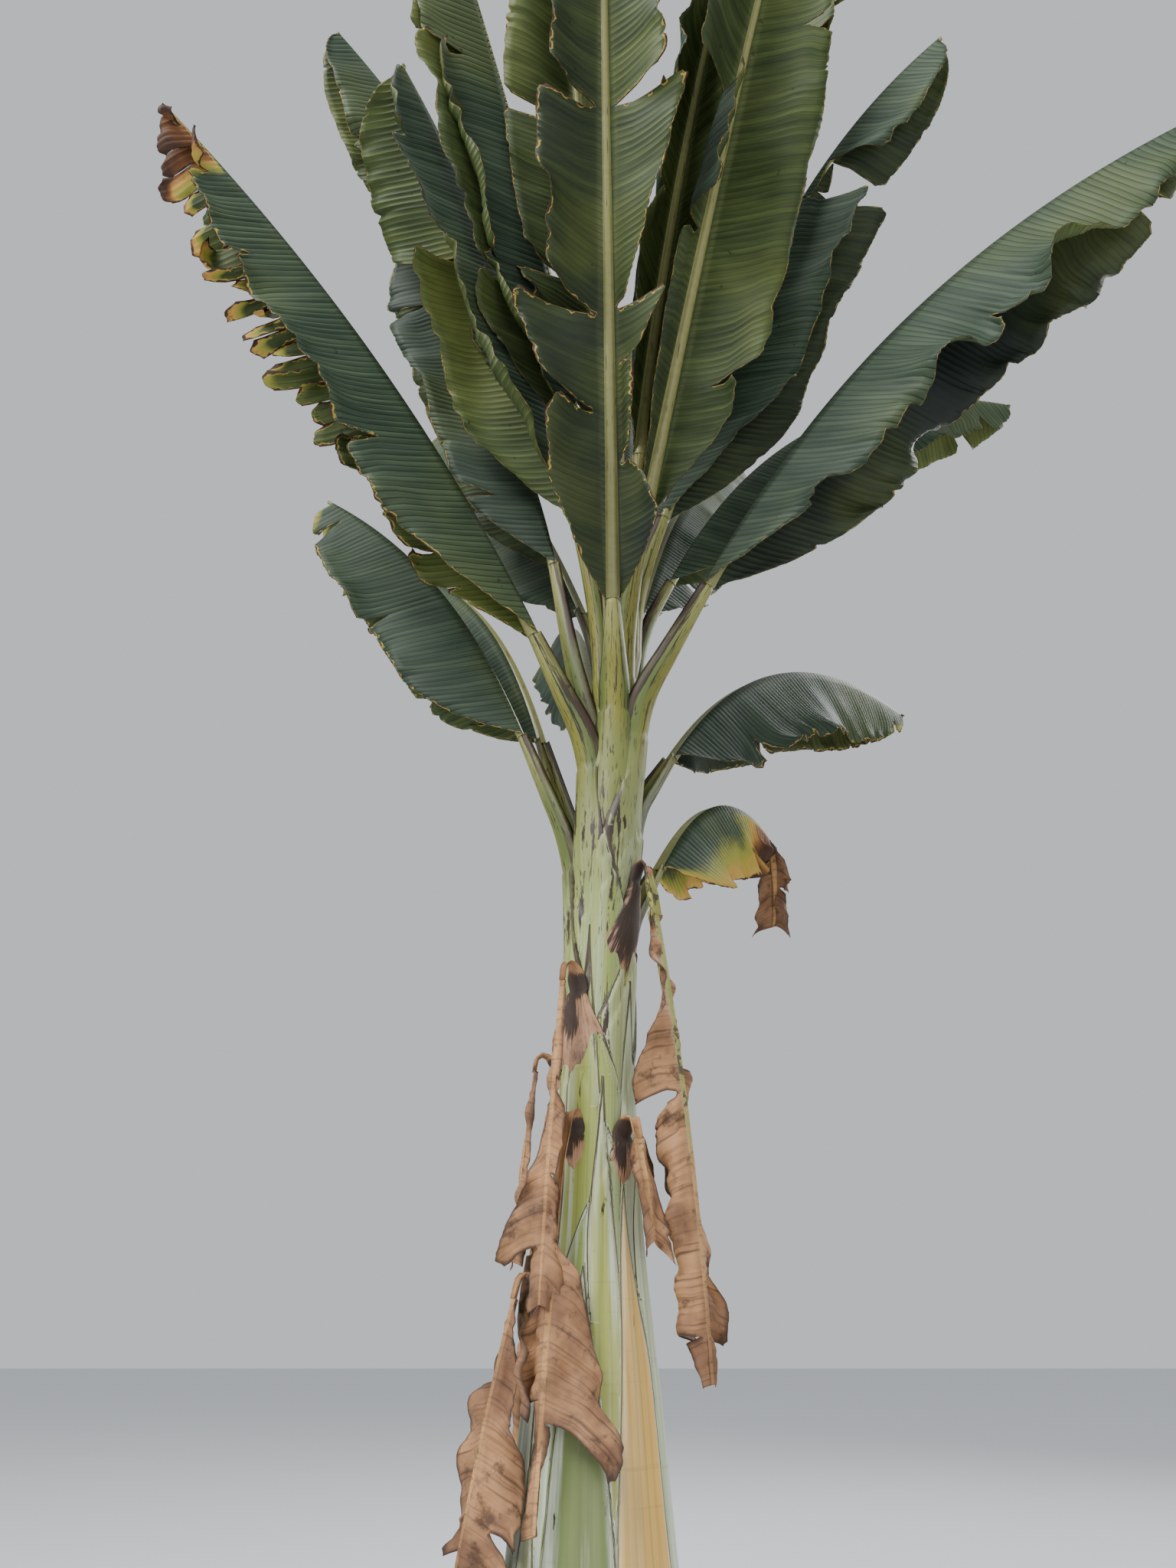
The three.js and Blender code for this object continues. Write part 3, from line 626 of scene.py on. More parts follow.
def stalk_material():
    """A living stalk: yellow on the back, greener beside it, with black flecks and streaks and dry rims."""
    shader = Shader("leaf_stalk")
    along, around = shader.number("along"), shader.number("around")
    side = shader.math("ABSOLUTE", around)
    grain = shader.noise(shader.spot((along, 1.2), (around, 9)), 1, 4)
    back = shader.mix(grain, (98, 96, 36), (134, 130, 56))
    flank = shader.mix(grain, (70, 84, 38), (102, 115, 60))
    near_blade = shader.mix(grain, (128, 128, 70), (158, 156, 96))
    fresh = shader.cover(back, flank, shader.times_add(grain, 0.3, side), 0.45, 0.95)
    fresh = shader.cover(fresh, near_blade, shader.number("up"), 0.35, 1.0, 0, 0.85)
    own = shader.times(shader.number("tone"), 37)
    flecks = shader.noise(shader.spot((along, 16), (around, 13), own), 1, 2)
    fresh = shader.cover(fresh, (44, 34, 22), flecks, 0.62, 0.65, 0, 0.85)
    streak = shader.noise(shader.spot((along, 2.0), (around, 5.5), own), 1, 6, 0.68)
    near_rim = shader.math("ADD", streak, shader.range(side, 0.3, 0.9, -0.01, 0.05))
    fresh = shader.cover(fresh, (34, 27, 24), near_rim, 0.58, 0.605, 0, 0.92)
    sheath, *_ = sheath_colour(shader)
    fresh = shader.cover(fresh, sheath, shader.times_add(grain, 0.2, along), 0.16, -0.10)
    rim = shader.times(shader.range(side, 0.88, 0.94), shader.range(streak, 0.38, 0.56, 0.25, 0.95))
    fresh = shader.mix(rim, fresh, (58, 42, 32))
    shader.bump(grain, 0.002, 0.5)
    return shader.finish(base_color=fresh, roughness=0.52, specular_ior_level=0.36)


def trunk_material():
    """The false trunk: sheaths with pale insides and a dark line at their edges, part scar and part painted
    shadow, dry at the ground.
    """
    shader = Shader("false_trunk")
    height, margin, near = shader.number("height"), shader.number("margin"), shader.number("near")
    colour, blotch, long_grain, fine_grain = sheath_colour(shader)
    inside = shader.times(shader.range(margin, 0.0, 0.03, 0.28, 0), shader.range(near, 0.034, 0.026))
    inside = shader.times(inside, shader.range(height, 3.8, 3.2))
    colour = shader.mix(shader.times(inside, shader.range(margin, -0.001, 0.0)), colour, PALE_INSIDE)
    worn = shader.range(blotch, 0.45, 0.68, 0.0016, 0.008)
    worn = shader.times(worn, shader.range(height, 2.2, 3.0, 1, 2.4))
    # A dark line along each sheath edge: partly a scar, partly painted shadow of the overlapping edge.
    edge_shadow_and_scar = shader.range(shader.math("DIVIDE", shader.math("ABSOLUTE", margin), worn), 0.6, 1.2, 1, 0)
    edge_shadow_and_scar = shader.times(edge_shadow_and_scar, shader.range(blotch, 0.34, 0.54, 0.6, 0.95))
    edge_shadow_and_scar = shader.times(edge_shadow_and_scar, shader.range(near, 0.016, 0.010))
    colour = shader.mix(edge_shadow_and_scar, colour, (60, 48, 36))
    foot = shader.times(shader.range(height, 0.5, 0.0), shader.range(long_grain, 0.3, 0.6))
    colour = shader.mix(foot, colour, (128, 98, 66))
    shader.bump(shader.times_add(fine_grain, 0.4, long_grain), 0.005, 0.5)
    return shader.finish(base_color=colour, roughness=0.5)


def dead_material(name, colours, pitch, partly_green=False):
    """Dry tissue: papery, streaked along its veins, darker in blotches and at its edges."""
    shader = Shader(name)
    light, middle, dark = colours
    phase, across = shader.number("phase"), shader.number("across")
    veins = shader.noise(shader.spot((phase, 2.2), (across, pitch)), 1, 4, 0.6)
    broad = shader.noise(shader.place(), 4, 4, 0.6)
    colour = shader.cover(light, middle, broad, 0.38, 0.62)
    colour = shader.cover(colour, dark, veins, 0.48, 0.72, 0, 0.75)
    spots = shader.noise(shader.place(), 11, 5, 0.7)
    colour = shader.cover(colour, dark, spots, 0.52, 0.66, 0, 0.75)
    colour = shader.cover(colour, (60, 42, 32), shader.number("edge"), 0.0, shader.times(broad, 0.03), 0.8, 0)
    if partly_green:
        tongue = shader.times(shader.range(phase, 0.0, -0.3), shader.range(veins, 0.6, 0.4, 0.2, 0.55))
        colour = shader.mix(tongue, colour, (166, 134, 118))
        fresh = shader.mix(veins, (126, 132, 58), (180, 178, 104))
        fresh = shader.cover(fresh, (58, 42, 28), spots, 0.56, 0.60, 0, 0.85)
        ragged = shader.times_add(shader.math("SUBTRACT", veins, 0.5), 1.1, shader.number("green"))
        colour = shader.cover(colour, fresh, ragged, 0.42, 0.5)
    burnt = shader.times_add(shader.math("SUBTRACT", veins, 0.5), 1.3, shader.number("dry"))
    colour = shader.cover(colour, (38, 30, 27), burnt, 0.55, 0.75, 0, 0.92)
    shader.bump(shader.times_add(veins, 0.6, spots), 0.003, 0.7)
    return shader.finish(base_color=colour, roughness=0.75)


def make_materials():
    return SimpleNamespace(
        upper=lamina_material("blade_upper", [(42, 60, 44), (70, 87, 66), (94, 105, 60)], 0.8),
        under=lamina_material("blade_under", [(52, 66, 30), (84, 98, 48), (116, 124, 60)], 0.42),
        rib=rib_material(),
        stalk=stalk_material(),
        trunk=trunk_material(),
        dead=dead_material("dead_leaf", [(178, 132, 90), (120, 84, 58), (56, 39, 30)], 3),
        # The dead leaf's under sheet: the same papery colours made darker, as painted shade inside its curls.
        dead_shaded_under=dead_material("dead_shaded_under", [(150, 110, 76), (104, 74, 54), (46, 33, 27)], 3),
        dead_rib=dead_material("dead_rib", [(196, 152, 100), (156, 114, 72), (78, 54, 36)], 30, True),
        dead_stalk=dead_material("dead_stalk", [(188, 140, 94), (140, 98, 64), (48, 36, 28)], 240, True),
    )


def usual_panels(leaf, side, rng):
    """Panels of a half whose tears come at random."""
    if (leaf.name, side) == COMB:
        return comb_panels(rng)
    spacing, depth = WORN.get((leaf.name, side), USUAL_WEAR)
    place = rng.uniform(0.3, 1) * spacing
    panels = []
    while place < leaf.blade * 0.93:
        if place > leaf.blade * 0.08:
            swing = rng.normal(0, 9)
            tear = depth * rng.uniform(0.3, 1.8)
            panels.append((place / leaf.blade, tear, swing, swing, 1, rng.uniform(0.93, 1.05), 0))
        place += spacing * rng.uniform(0.4, 1.7)
    return [*panels, WHOLE]


def comb_panels(rng):
    """A half torn to narrow strips towards its tip, some of them short and curled."""
    place = 0.1
    panels = []
    while place < 0.96:
        depth = lerp(0.35, 0.75, smooth((place - 0.2) / 0.5)) * rng.uniform(0.6, 1.15)
        swing = rng.normal(0, 14) + 34 * smooth((place - 0.2) / 0.3)
        curl = rng.normal(0, 50) * smooth((place - 0.4) / 0.3)
        share = rng.uniform(0.8, 1.12)
        end_swing = swing + rng.normal(0, 8)
        panels.append((place, depth, swing, end_swing, share, share * rng.uniform(0.8, 1), curl))
        place += lerp(0.085, 0.028, smooth((place - 0.1) / 0.45)) * rng.uniform(0.6, 1.5)
    return [*panels, (1, 0, 40, 60, 0.7, 0.7, 60)]


def row_order(ribs, halves):
    """Rows along a blade, with two rows at each tear. Returns their places and each tear's lower row."""
    cuts = {}
    for side, panels in halves.items():
        for end, depth, *_ in panels[:-1]:
            row = ROWS_PER_RIB * round(end * ribs - 0.75) + 3
            cuts.setdefault(row, {})[side] = min(depth, 0.95)
    base = np.arange(ribs * ROWS_PER_RIB + 1)
    order = np.sort(np.concatenate([base, np.array(list(cuts), int)]))
    tears = {1: [], -1: []}
    for row, sides in sorted(cuts.items()):
        low = int(np.searchsorted(order, row))
        for side, depth in sides.items():
            tears[side].append((low, depth))
    return (order // ROWS_PER_RIB + ROW_PLACES[order % ROWS_PER_RIB]) / ribs, tears


def margin_width(leaf, u, lean, rng):
    """The width of a half before it is torn, with an uneven margin and small nicks."""
    reach = u * leaf.blade
    if leaf.dead:
        width = leaf.half * smooth(u / 0.06)
    else:
        width = half_width(leaf, u)
        for _ in range(3):
            width = half_width(leaf, np.clip(u + lean * width / leaf.blade, 0, 1))
    width = width * (1 + 0.035 * wander(rng, reach, 0.16))
    for _ in range(int(leaf.blade * (DEAD_NICKS if leaf.dead else FRESH_NICKS))):
        place, deep, long = rng.uniform(0.05, 0.98), rng.uniform(*NICK_DEPTH), rng.uniform(*NICK_LENGTH)
        width = width - deep * np.clip(1 - np.abs(u - place) * leaf.blade / long, 0, 1) * (width > 0.05)
    return width - 0.004 * np.abs(wander(rng, reach, 0.014)) * (width > 0.03)


def half_sheet(leaf, side, u, tears, panels, rng):
    """Widths, fold angles, shifts along the blade and distances to a free edge of one half."""
    rows = len(u)
    v = np.arange(STRIPS + 1) / STRIPS
    length = leaf.blade
    reach = u * length
    fold = leaf.plus if side > 0 else leaf.minus
    lean = rng.uniform(0.3, 1.0) if leaf.dead else 0.26
    width = margin_width(leaf, u, lean, rng)

    starts = [0, *[low + 1 for low, _ in tears]]
    ends = [*[low for low, _ in tears], rows - 1]
    inner = [1.0, *[1 - depth for _, depth in tears], 1.0]
    swing = np.zeros((rows, STRIPS + 1))
    slide = np.zeros((rows, STRIPS + 1))
    away = np.full((rows, STRIPS + 1), FAR)
    for p, (first, last) in enumerate(zip(starts, ends)):
        here = slice(first, last + 1)
        along = (u[here] - u[first]) / max(u[last] - u[first], 1e-6)
        _, _, swing_low, swing_high, share_low, share_high, curl = panels[min(p, len(panels) - 1)]
        root = lerp(inner[p], inner[p + 1], along)[:, None]
        free = smooth((v[None, :] - root) / 0.3)
        width[here] *= lerp(share_low, share_high, along)
        rolled = v ** 2 if leaf.dead else smooth((v - 0.68) / 0.32)
        swing[here] = lerp(swing_low, swing_high, along)[:, None] * free + curl * rolled[None, :]
        middle = (u[first] + u[last]) / 2
        slide[here] = (middle - u[here])[:, None] * 0.05 * free * length
        sides = ((p > 0, (u[here] - u[first]) * length, inner[p]),
                 (p < len(starts) - 1, (u[last] - u[here]) * length, inner[p + 1]))
        for torn, near, tip_in in sides:
            hook = rng.uniform(*CORNER_TURN) * (1 if not leaf.dead else 1.5)
            if torn:
                past = v[None, :] > tip_in - 0.02
                away[here] = np.where(past, np.minimum(away[here], near[:, None]), away[here])
                outer = smooth((v - max(tip_in, 0.45)) / 0.5)[None, :]
                swing[here] += hook * (smooth(1 - near / CORNER_REACH)[:, None] * outer)
                width[here] -= 0.03 * smooth(1 - near / 0.03) * (width[here] > 0.08)

    width = np.maximum(width, THINNEST)
    across = width[:, None] * v[None, :]
    edge = np.minimum(away, width[:, None] - across)
    wave = 15 * wander(rng, reach, 0.36)[:, None] * v + 11 * wander(rng, reach, 0.14)[:, None] * v ** 2
    ruffle = 16 * wander(rng, reach, 0.055)[:, None] * smooth((v - 0.65) / 0.35)
    ruffle = ruffle + 34 * wander(rng, reach, 0.5)[:, None] * smooth((v - 0.75) / 0.25)
    angle = fold + DROOP * v[None, :] + (wave + ruffle) * WAVY.get(leaf.name, 1) + swing
    grid = np.tile(reach[:, None], (1, STRIPS + 1))
    if leaf.dead:
        loose = np.clip(width / 0.09, 0.12, 1)[:, None]
        angle = angle + 62 * field(rng, grid, across, 0.26, 0.06) * smooth(v / 0.2) * loose
        angle = angle + 60 * field(rng, grid, across, 0.08, 0.05) * v * loose
        bulge = 0.017 * field(rng, grid, across, 0.07, 0.07) + 0.004 * field(rng, grid, across, 0.025, 0.03)
    else:
        bulge = 0.014 * field(rng, grid, across, 0.17, 0.4) * v
        bulge = bulge + 0.006 * field(rng, grid, across, 0.08, 0.16) * v
    if leaf.name == "yellowing":
        crumpled = v * smooth((u - 0.6) / 0.3)[:, None]
        angle = angle + 120 * field(rng, grid, across, 0.06, 0.07) * crumpled
    slide = slide + width[:, None] * lean * (0.5 * v + 0.5 * v ** 2)
    return SimpleNamespace(v=v, width=width, angle=np.radians(angle), slide=slide, edge=edge, bulge=bulge)


def dryness(leaf, side, u, v):
    """Where a living blade has dried: 0 is fresh and 1 is brown."""
    u, v = u[:, None], v[None, :]
    if leaf.name == "yellowing":
        return 0.10 + 0.5 * smooth((v - 0.3) / 0.7) + 0.75 * smooth((u - 0.55) / 0.35)
    if (leaf.name, side) == COMB:
        return 0.9 * smooth((u - 0.84) / 0.08) + 0.75 * smooth((u - 0.35) / 0.3) * smooth((v - 0.72) / 0.28)
    if leaf.name == "long_left":
        return 0.9 * smooth((u - 0.84) / 0.06) + 0.25 * smooth((u - 0.6) / 0.4) * smooth((v - 0.6) / 0.4)
    if leaf.name in ("low_left", "low_right"):
        return 0.5 * smooth((u - 0.85) / 0.15) * smooth((v - 0.5) / 0.5)
    return np.zeros((u.size, v.size))


def blade_sheets(leaf, course, rng):
    """Upper and lower points of a blade, their numbers, and where the blade is torn."""
    ribs = max(round(leaf.blade / RIB_PITCH), 6)
    name = SAME_PANELS.get(leaf.name, leaf.name)
    halves = {side: PANELS.get((name, side)) or usual_panels(leaf, side, rng) for side in (1, -1)}
    halves = {side: [(*row, *WHOLE[len(row):]) for row in rows] for side, rows in halves.items()}
    u, tears = row_order(ribs, halves)
    rows = len(u)
    s = lerp(leaf.stalk + CLEAR, leaf.stalk + leaf.blade, u)
    P, T, N, B = frames_at(course, s)
    strap = STRAP.get(leaf.name, 1)
    rib = lerp(RIB_HALF[0], RIB_HALF[1], u) * (DEAD_RIB[0] * strap if leaf.dead else 1)
    depth = lerp(RIB_DEPTH[0], RIB_DEPTH[1], u) * (DEAD_RIB[1] * strap if leaf.dead else 1)

    top = np.zeros((rows, BLADE_COLUMNS, 3))
    bottom = np.zeros((rows, BLADE_COLUMNS, 3))
    keys = ("phase", "across", "along", "edge", "dry", "shade")
    numbers = {key: np.zeros((rows, BLADE_COLUMNS)) for key in keys}
    numbers["phase"][:] = (u * ribs)[:, None]
    numbers["along"][:] = s[:, None]
    if leaf.dead:
        numbers["green"] = np.tile((0.62 * leaf.green * smooth(1.6 - 1.8 * u))[:, None], (1, BLADE_COLUMNS))
    numbers["edge"][:] = FAR

    for i, t in enumerate(RIB_PLACES):
        centre = P + B * (rib * t)[:, None]
        top[:, STRIPS + i] = centre + N * (0.001 - rib * 0.35 * (1 - t * t))[:, None]
        bottom[:, STRIPS + i] = centre - N * (0.002 + depth * math.sqrt(1 - t * t))[:, None]
    numbers["across"][:, STRIPS:RIB_END] = rib[:, None] * RIB_PLACES

    order = np.arange(STRIPS)
    for side in (1, -1):
        half = half_sheet(leaf, side, u, tears[side], halves[side], rng)
        where = RIB_END + order if side > 0 else STRIPS - 1 - order
        S = B * side
        step = half.width / STRIPS
        between = (half.angle[:, 1:] + half.angle[:, :-1]) / 2
        way = np.cos(between)[..., None] * S[:, None, :] + np.sin(between)[..., None] * N[:, None, :]
        offset = np.cumsum(way * step[:, None, None], axis=1)
        upper = np.cos(half.angle)[..., None] * N[:, None, :] - np.sin(half.angle)[..., None] * S[:, None, :]
        place = (P + S * rib[:, None])[:, None, :] + offset + T[:, None, :] * half.slide[:, 1:, None]
        v = half.v[1:]
        swell = RIB_HEIGHT * smooth(v / 0.15) * (1 - 0.3 * v) * min(leaf.half / 0.3, 1)
        ridge = (2 * np.abs(np.sin(np.pi * u * ribs)) - 1)[:, None] * swell
        ridge = ridge * (1 + 0.35 * wander(rng, u * leaf.blade, 0.1))[:, None]
        reach = np.tile((u * leaf.blade)[:, None], (1, STRIPS))
        ridge = ridge * (1 + 0.6 * field(rng, reach, half.width[:, None] * v, 0.25, 0.15)) + half.bulge[:, 1:]
        thick = lerp(THICKNESS[0], THICKNESS[1], v)
        top[:, where] = place + upper[:, 1:] * (ridge + thick / 2)[..., None]
        bottom[:, where] = place + upper[:, 1:] * (ridge - thick / 2)[..., None]
        numbers["across"][:, where] = half.width[:, None] * v + rib[:, None]
        numbers["edge"][:, where] = half.edge[:, 1:] * BORDER.get(leaf.name, 1 if leaf.dead else USUAL_BORDER)
        numbers["dry"][:, where] = dryness(leaf, side, u, v)
        shades = SHADE.get(leaf.name, (0, 0, 0, 0))
        shade = lerp(*(shades[:2] if side > 0 else shades[2:]), smooth(u / 0.6))[:, None]
        numbers["shade"][:, where] = shade
        numbers["shade"][:, STRIPS:RIB_END] += shade / 2
    return SimpleNamespace(top=top, bottom=bottom, numbers=numbers, tears=tears)


def blade_piece(leaf, course, materials, rng):
    """A blade: two sheets joined at their rims, whose two rows at a tear are one up to where it ends."""
    sheets = blade_sheets(leaf, course, rng)
    rows, columns = sheets.top.shape[:2]
    index = np.arange(rows * columns).reshape(rows, columns)
    torn_rows = sorted({low for side in sheets.tears.values() for low, _ in side})
    for low in torn_rows:
        joined = np.ones(columns, bool)
        for side in (1, -1):
            for row, depth in sheets.tears[side]:
                if row != low:
                    continue
                reach = int(round((1 - depth) * STRIPS))
                if side > 0:
                    joined[RIB_END + reach:] = False
                else:
                    joined[: STRIPS - reach] = False
        index[low + 1, joined] = index[low, joined]
    keep = np.ones(rows - 1, bool)
    keep[torn_rows] = False
    quads = quads_of(index)[keep].reshape(-1, 4)
    column = np.tile(np.arange(columns - 1), keep.sum())
    on_rib = (column >= STRIPS) & (column < RIB_END - 1)
    points, faces = shell(sheets.top.reshape(-1, 3), sheets.bottom.reshape(-1, 3), quads)
    walls = len(faces) - 2 * len(quads)
    slots = np.concatenate([np.where(on_rib, 2, 0), np.where(on_rib, 2, 1), np.zeros(walls, int)])
    used = np.unique(faces)
    renumber = np.zeros(len(points), int)
    renumber[used] = np.arange(len(used))
    values = {key: np.tile(number.ravel(), 2)[used] for key, number in sheets.numbers.items()}
    if leaf.dead:
        worn = [materials.dead, materials.dead_shaded_under, materials.dead_rib]
    else:
        worn = [materials.upper, materials.under, materials.rib]
    return object_of(f"{leaf.name}_lamina", points[used], renumber[faces], worn, slots, values)


def sheath_half(below):
    """Half the width of a sheath, below metres under the place where its stalk leaves the trunk."""
    return 0.064 + 0.3875 * np.clip(below, 0, 3) ** 1.64


def sheath_rows(leaf, course, foot):
    """Rows of a sheath on the trunk, from its foot up: place along the stalk, its outside and its inside."""
    t = ACROSS_STALK
    half, depth = STALK_HALVES[leaf.kind][0], STALK_DEPTHS[leaf.kind][0]
    rows = []
    for d in np.linspace(foot, 0, max(int(foot / FOOT_STEP), 4))[:-1]:
        if leaf.dead:
            drop = 1.05 - 0.45 * np.abs(t) ** 1.5 + 0.06 * np.sin(11 * t + leaf.az)
            drop = drop + SLANT.get(leaf.name, 0) * t
            reach = lerp(0.036, leaf.spread, (d / foot) ** 1.3)
            bulge = depth * (1 - d / foot) ** 7
            lip = lerp(-0.014, 0.010, smooth((foot - d) / (0.5 * foot)))
        else:
            drop = np.ones(len(t))
            reach = sheath_half(d) if leaf.kind == "trunk" else half + 0.10 * d
            bulge = depth * (1 - d / foot) ** 1.6
            lip = lerp(-0.008, 0.004, smooth((foot - d) / 0.12))
        z = leaf.start - d * drop
        radius = trunk_radius(z)
        reach = np.minimum(reach, 0.8 * math.pi * radius)
        angle = -t * reach / radius
        spoke = np.cos(angle)[:, None] * course.h + np.sin(angle)[:, None] * np.cross(UP, course.h)
        narrow = np.clip(1 - (t * reach / (half * 1.25)) ** 2, 0, 1) ** 1.3
        outer = radius + lip + bulge * narrow
        centre = np.array([trunk_axis(h) for h in z])
        rows.append((-d, centre + spoke * outer[:, None], centre + spoke * (radius - 0.016)[:, None]))
    return rows


def stalk_rows(leaf, course):
    """Rows of a stalk: how far along it, its keeled back and its channelled upper side."""
    t = ACROSS_STALK
    s = np.linspace(0, leaf.stalk, max(int(leaf.stalk / STALK_STEP), 8))
    share = s / leaf.stalk
    strap = lerp(1, STRAP.get(leaf.name, 1), smooth(share * 2 - 0.5))
    half = np.interp(share, STALK_PLACES, STALK_HALVES[leaf.kind]) * strap
    depth = np.interp(share, STALK_PLACES, STALK_DEPTHS[leaf.kind]) * strap
    wrap = np.interp(share, STALK_PLACES[:3], [1, 0.5, 0])
    keel = np.sqrt(np.clip(1 - np.abs(t) ** 2.4, 0, 1))
    radius = trunk_radius(leaf.start)
    P, _, N, B = frames_at(course, s)
    rows = []
    for i in range(len(s)):
        across = t * half[i]
        recede = (radius - np.sqrt(np.maximum(radius ** 2 - across ** 2, 0))) * wrap[i]
        rim = 0.25 * depth[i] * np.abs(t) ** 3
        back = -depth[i] * keel + rim + recede
        hollow = (0.16 + 0.28 * smooth(share[i])) * depth[i]
        channel = -hollow * (1 - t * t) - 0.1 * depth[i] * (1 - np.abs(t))
        front = np.maximum(channel, back - recede + 0.003) + rim + recede
        front = np.maximum(front, back + 0.0025)
        rows.append((s[i], *[P[i] + B[i] * across[:, None] + N[i] * side[:, None] for side in (back, front)]))
    return rows


def stalk_piece(leaf, course, materials):
    """A stalk with the top of its sheath: the back is the lower sheet, the channel the upper one."""
    foot = min(0.36, 3.3 * leaf.spread) if leaf.dead else FOOT[leaf.kind]
    parts = zip(*sheath_rows(leaf, course, foot), *stalk_rows(leaf, course))
    along, back, front = (np.array(part) for part in parts)
    rows, columns = back.shape[:2]
    quads = quads_of(np.arange(rows * columns).reshape(rows, columns)).reshape(-1, 4)
    points, faces = shell(front.reshape(-1, 3), back.reshape(-1, 3), quads)
    length = np.repeat(along, columns)
    around = np.tile(ACROSS_STALK, rows)
    values = {"along": length, "around": around}
    if leaf.dead:
        burnt = smooth(1.3 - np.abs(length + 0.14 * foot) / (SCORCH.get(leaf.name, USUAL_SCORCH) * foot))
        burnt = burnt * lerp(0.5, 1, smooth(0.7 + 1.2 * around)) * (1 - 0.3 * np.abs(around) ** 3)
        kink = smooth(1.5 - np.abs(length - 0.015) / 0.05)
        fresh_foot = 0.9 * smooth((-length - foot * 0.7) / 0.12)
        fresh_end = 0.62 * leaf.green * smooth(length / 0.12 - 0.4)
        values.update(
            edge=np.full(len(length), FAR), phase=length * 4, across=around * 0.05,
            dry=np.maximum(burnt, kink), green=np.where(length < 0, fresh_foot, fresh_end))
    else:
        spot = back.reshape(-1, 3) - trunk_axis(leaf.start) * (1, 1, 0)
        values.update(
            height=spot[:, 2], tone=np.full(len(length), leaf.tone), up=length / leaf.stalk,
            **round_trunk(np.arctan2(spot[:, 1], spot[:, 0])))
    values = {key: np.tile(number, 2) for key, number in values.items()}
    material = materials.dead_stalk if leaf.dead else materials.stalk
    return object_of(f"{leaf.name}_petiole", points, faces, [material], None, values)


def round_trunk(angle):
    """Two numbers for a place round the trunk, with no seam."""
    return {"east": 0.2 * np.cos(angle), "north": 0.2 * np.sin(angle)}


def trunk_piece(leaves, materials):
    """The trunk's surface, with a ledge wherever one sheath ends over the next."""
    z = np.linspace(0, TRUNK_TOP, TRUNK_ROWS)
    theta = np.linspace(0, 2 * np.pi, TRUNK_COLUMNS, endpoint=False)
    radius = np.mean([trunk_radius(np.clip(z + d, 0, TRUNK_TOP)) for d in EVEN_OUT], axis=0)
    Z, A = np.meshgrid(z, theta, indexing="ij")
    R = np.repeat(radius[:, None], TRUNK_COLUMNS, axis=1)
    rng = np.random.default_rng(41)
    relief = np.zeros_like(Z)
    margin = np.full_like(Z, FAR)
    near = np.full_like(Z, FAR)
    tone = np.full_like(Z, 0.5)
    sheaths = [(leaf.start, leaf.az, None, None, leaf.tone) for leaf in leaves if not leaf.dead]
    for start, az, base, slope, tint in sorted([*sheaths, *OLD_SHEATHS], key=lambda row: -row[0]):
        below = start - Z
        turn = (A - math.radians(az) + np.pi) % (2 * np.pi) - np.pi
        sway = 0.012 * wander(rng, z, 0.5)[:, None]
        arc = np.abs(turn * R + sway)
        old_half = 0 if base is None else base * smooth(below / 0.6) + slope * np.clip(below, 0, 5)
        half = sheath_half(below) if base is None else old_half
        inside = np.where(half > np.pi * R, FAR, np.minimum(half - arc, below * 2))
        inside[below < 0] = -FAR
        cover = smooth(inside / LEDGE)
        relief += SHEATH_STEP * (cover - cover.mean(axis=1, keepdims=True))
        near = np.where(inside > 0, np.minimum(inside, FAR), np.minimum(near, -inside))
        nearest = np.where(np.abs(inside) < np.maximum(np.abs(margin), 0.008), inside, margin)
        margin = np.where(inside > 0, np.minimum(inside, FAR), nearest)
        tone = lerp(tone, tint, smooth(inside / 0.012 + 0.5))
    flutes = sum(depth * np.sin(count * A + p + 0.5 * np.sin(1.7 * Z + p)) for count, depth, p in FLUTES)
    relief = np.clip(relief + flutes * smooth(TRUNK_TOP - Z), *RELIEF_LIMITS)
    relief = relief * lerp(0.3, 1, smooth(Z / 0.05))
    centre = np.array([trunk_axis(h) for h in z])
    r = R + relief
    points = np.stack([centre[:, 0][:, None] + r * np.cos(A), r * np.sin(A), Z], axis=-1).reshape(-1, 3)
    index = np.arange(len(points)).reshape(TRUNK_ROWS, TRUNK_COLUMNS)
    quads = quads_of(np.hstack([index, index[:, :1]])).reshape(-1, 4)
    values = {"height": Z, "margin": margin, "near": near, "tone": tone, **round_trunk(A)}
    values = {key: number.ravel() for key, number in values.items()}
    caps = [index[0][::-1], index[-1]]
    return object_of("false_trunk", points, quads, [materials.trunk], None, values, caps)


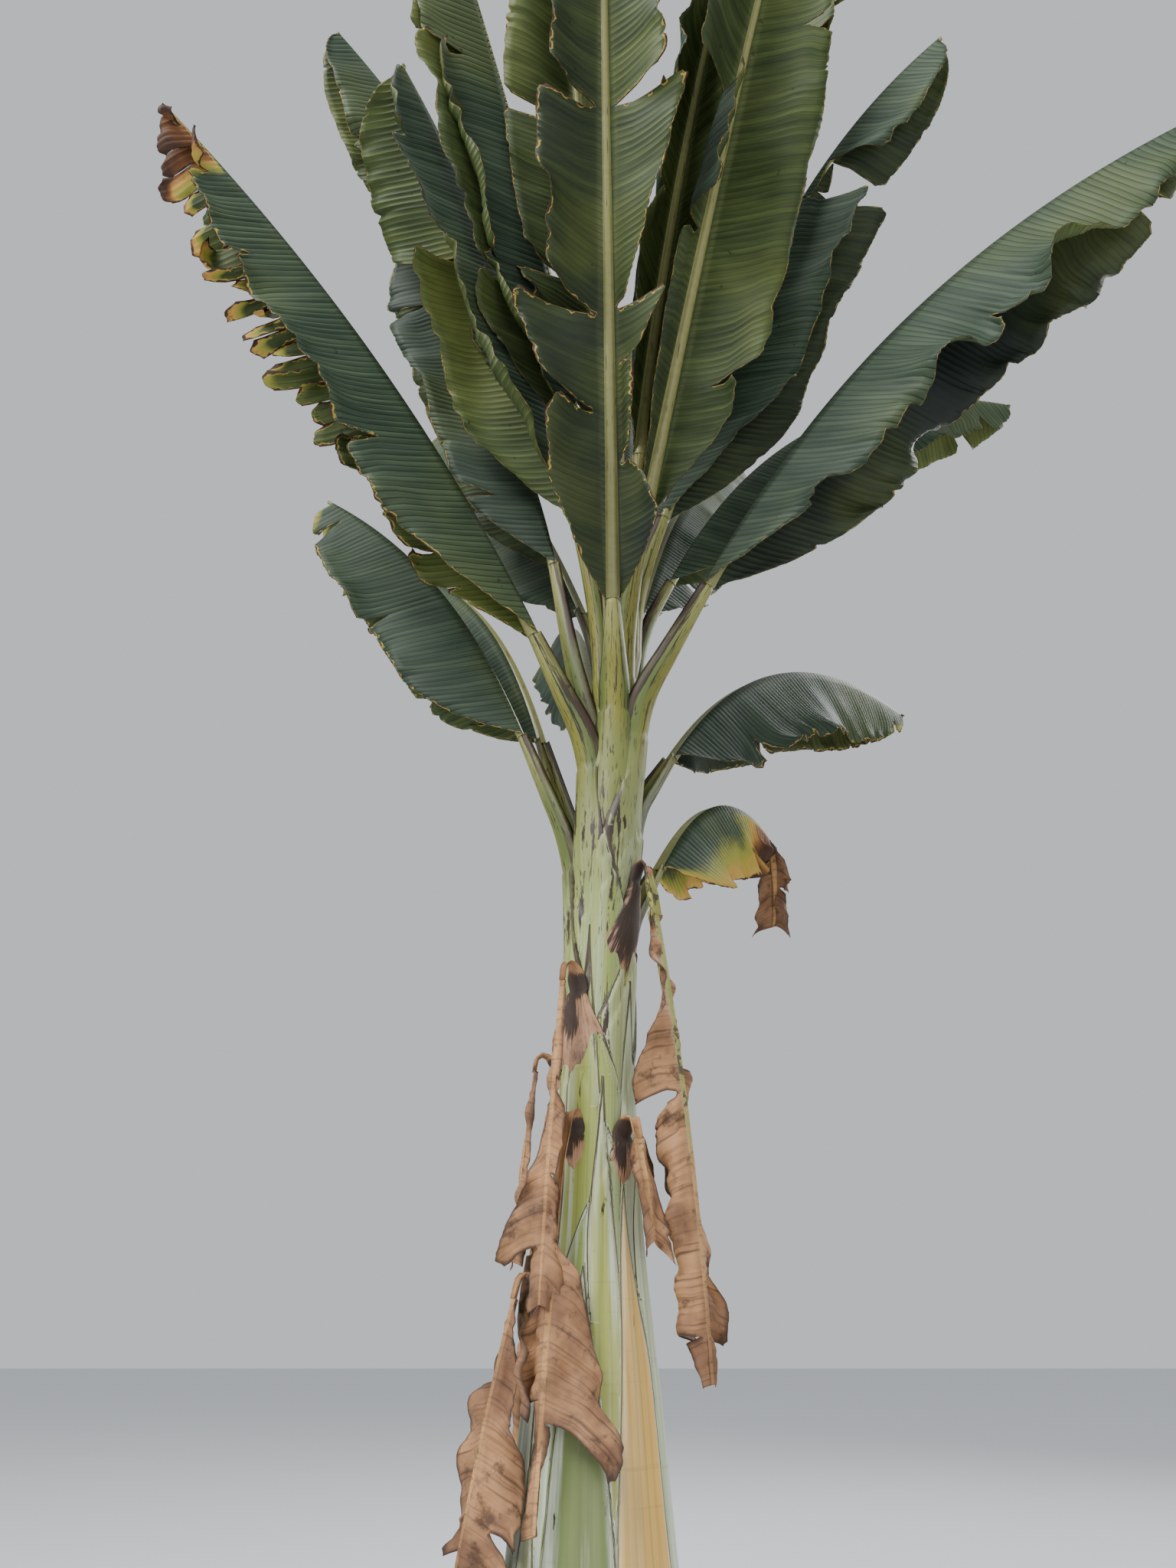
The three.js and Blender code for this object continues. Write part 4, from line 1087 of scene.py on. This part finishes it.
def add_camera():
    camera = bpy.data.objects.new("camera", bpy.data.cameras.new("camera"))
    camera.data.lens = LENS
    camera.data.sensor_width = SENSOR
    camera.location = EYE
    camera.rotation_euler = (math.radians(90 + LOOK_UP), 0, 0)
    bpy.context.scene.collection.objects.link(camera)
    bpy.context.scene.camera = camera


def add_stage():
    floor = bpy.data.meshes.new("floor")
    around = ((-1, -1), (1, -1), (1, 1), (-1, 1))
    corners = [(x * FLOOR_REACH, y * FLOOR_REACH, FLOOR_HEIGHT) for x, y in around]
    floor.from_pydata(corners, [], [(0, 1, 2, 3)])
    floor.materials.append(Shader("floor").finish(base_color=FLOOR_GREY, roughness=0.9))
    stage = bpy.data.objects.new("floor", floor)
    bpy.context.scene.collection.objects.link(stage)

    world = bpy.data.worlds.new("world")
    world.use_nodes = True
    background = world.node_tree.nodes["Background"]
    background.inputs[0].default_value = linear(SKY)
    background.inputs[1].default_value = SKY_STRENGTH
    bpy.context.scene.world = world

    for name, place, aim, size, power in LAMPS:
        light = bpy.data.lights.new(name, "AREA")
        light.size = size
        light.energy = power
        lamp = bpy.data.objects.new(name, light)
        lamp.location = place
        x, y, z = np.array(aim) - np.array(place)
        lamp.rotation_euler = (math.atan2(math.hypot(x, y), -z), 0, math.atan2(-x, y))
        bpy.context.scene.collection.objects.link(lamp)


def main():
    materials = make_materials()
    living = [leaf_of(LEAF_KEYS, row, name=name, dead=False) for name, row in LEAVES.items()]
    dead = [leaf_of(DEAD_KEYS, row, name=name, dead=True, bend=1) for name, row in DEAD_LEAVES.items()]
    place_piece(trunk_piece(living, materials), "trunk")
    for number, leaf in enumerate(living + dead):
        rng = np.random.default_rng(1000 + number)
        course = course_of(leaf)
        blade = blade_piece(leaf, course, materials, rng)
        stalk = stalk_piece(leaf, course, materials)
        single = leaf.name in SINGLE
        place_piece(blade, leaf.name if single else f"{leaf.name}_blade")
        place_piece(stalk, leaf.name if single else f"{leaf.name}_stalk")
        if leaf.name == "yellowing":
            tip = SimpleNamespace(**DEAD_TIP, name="yellowing_tip", dead=True, kind="dead")
            end = course_of(tip, course.places[-1])
            place_piece(blade_piece(tip, end, materials, rng), "yellowing_tip")


main()
add_camera()
add_stage()
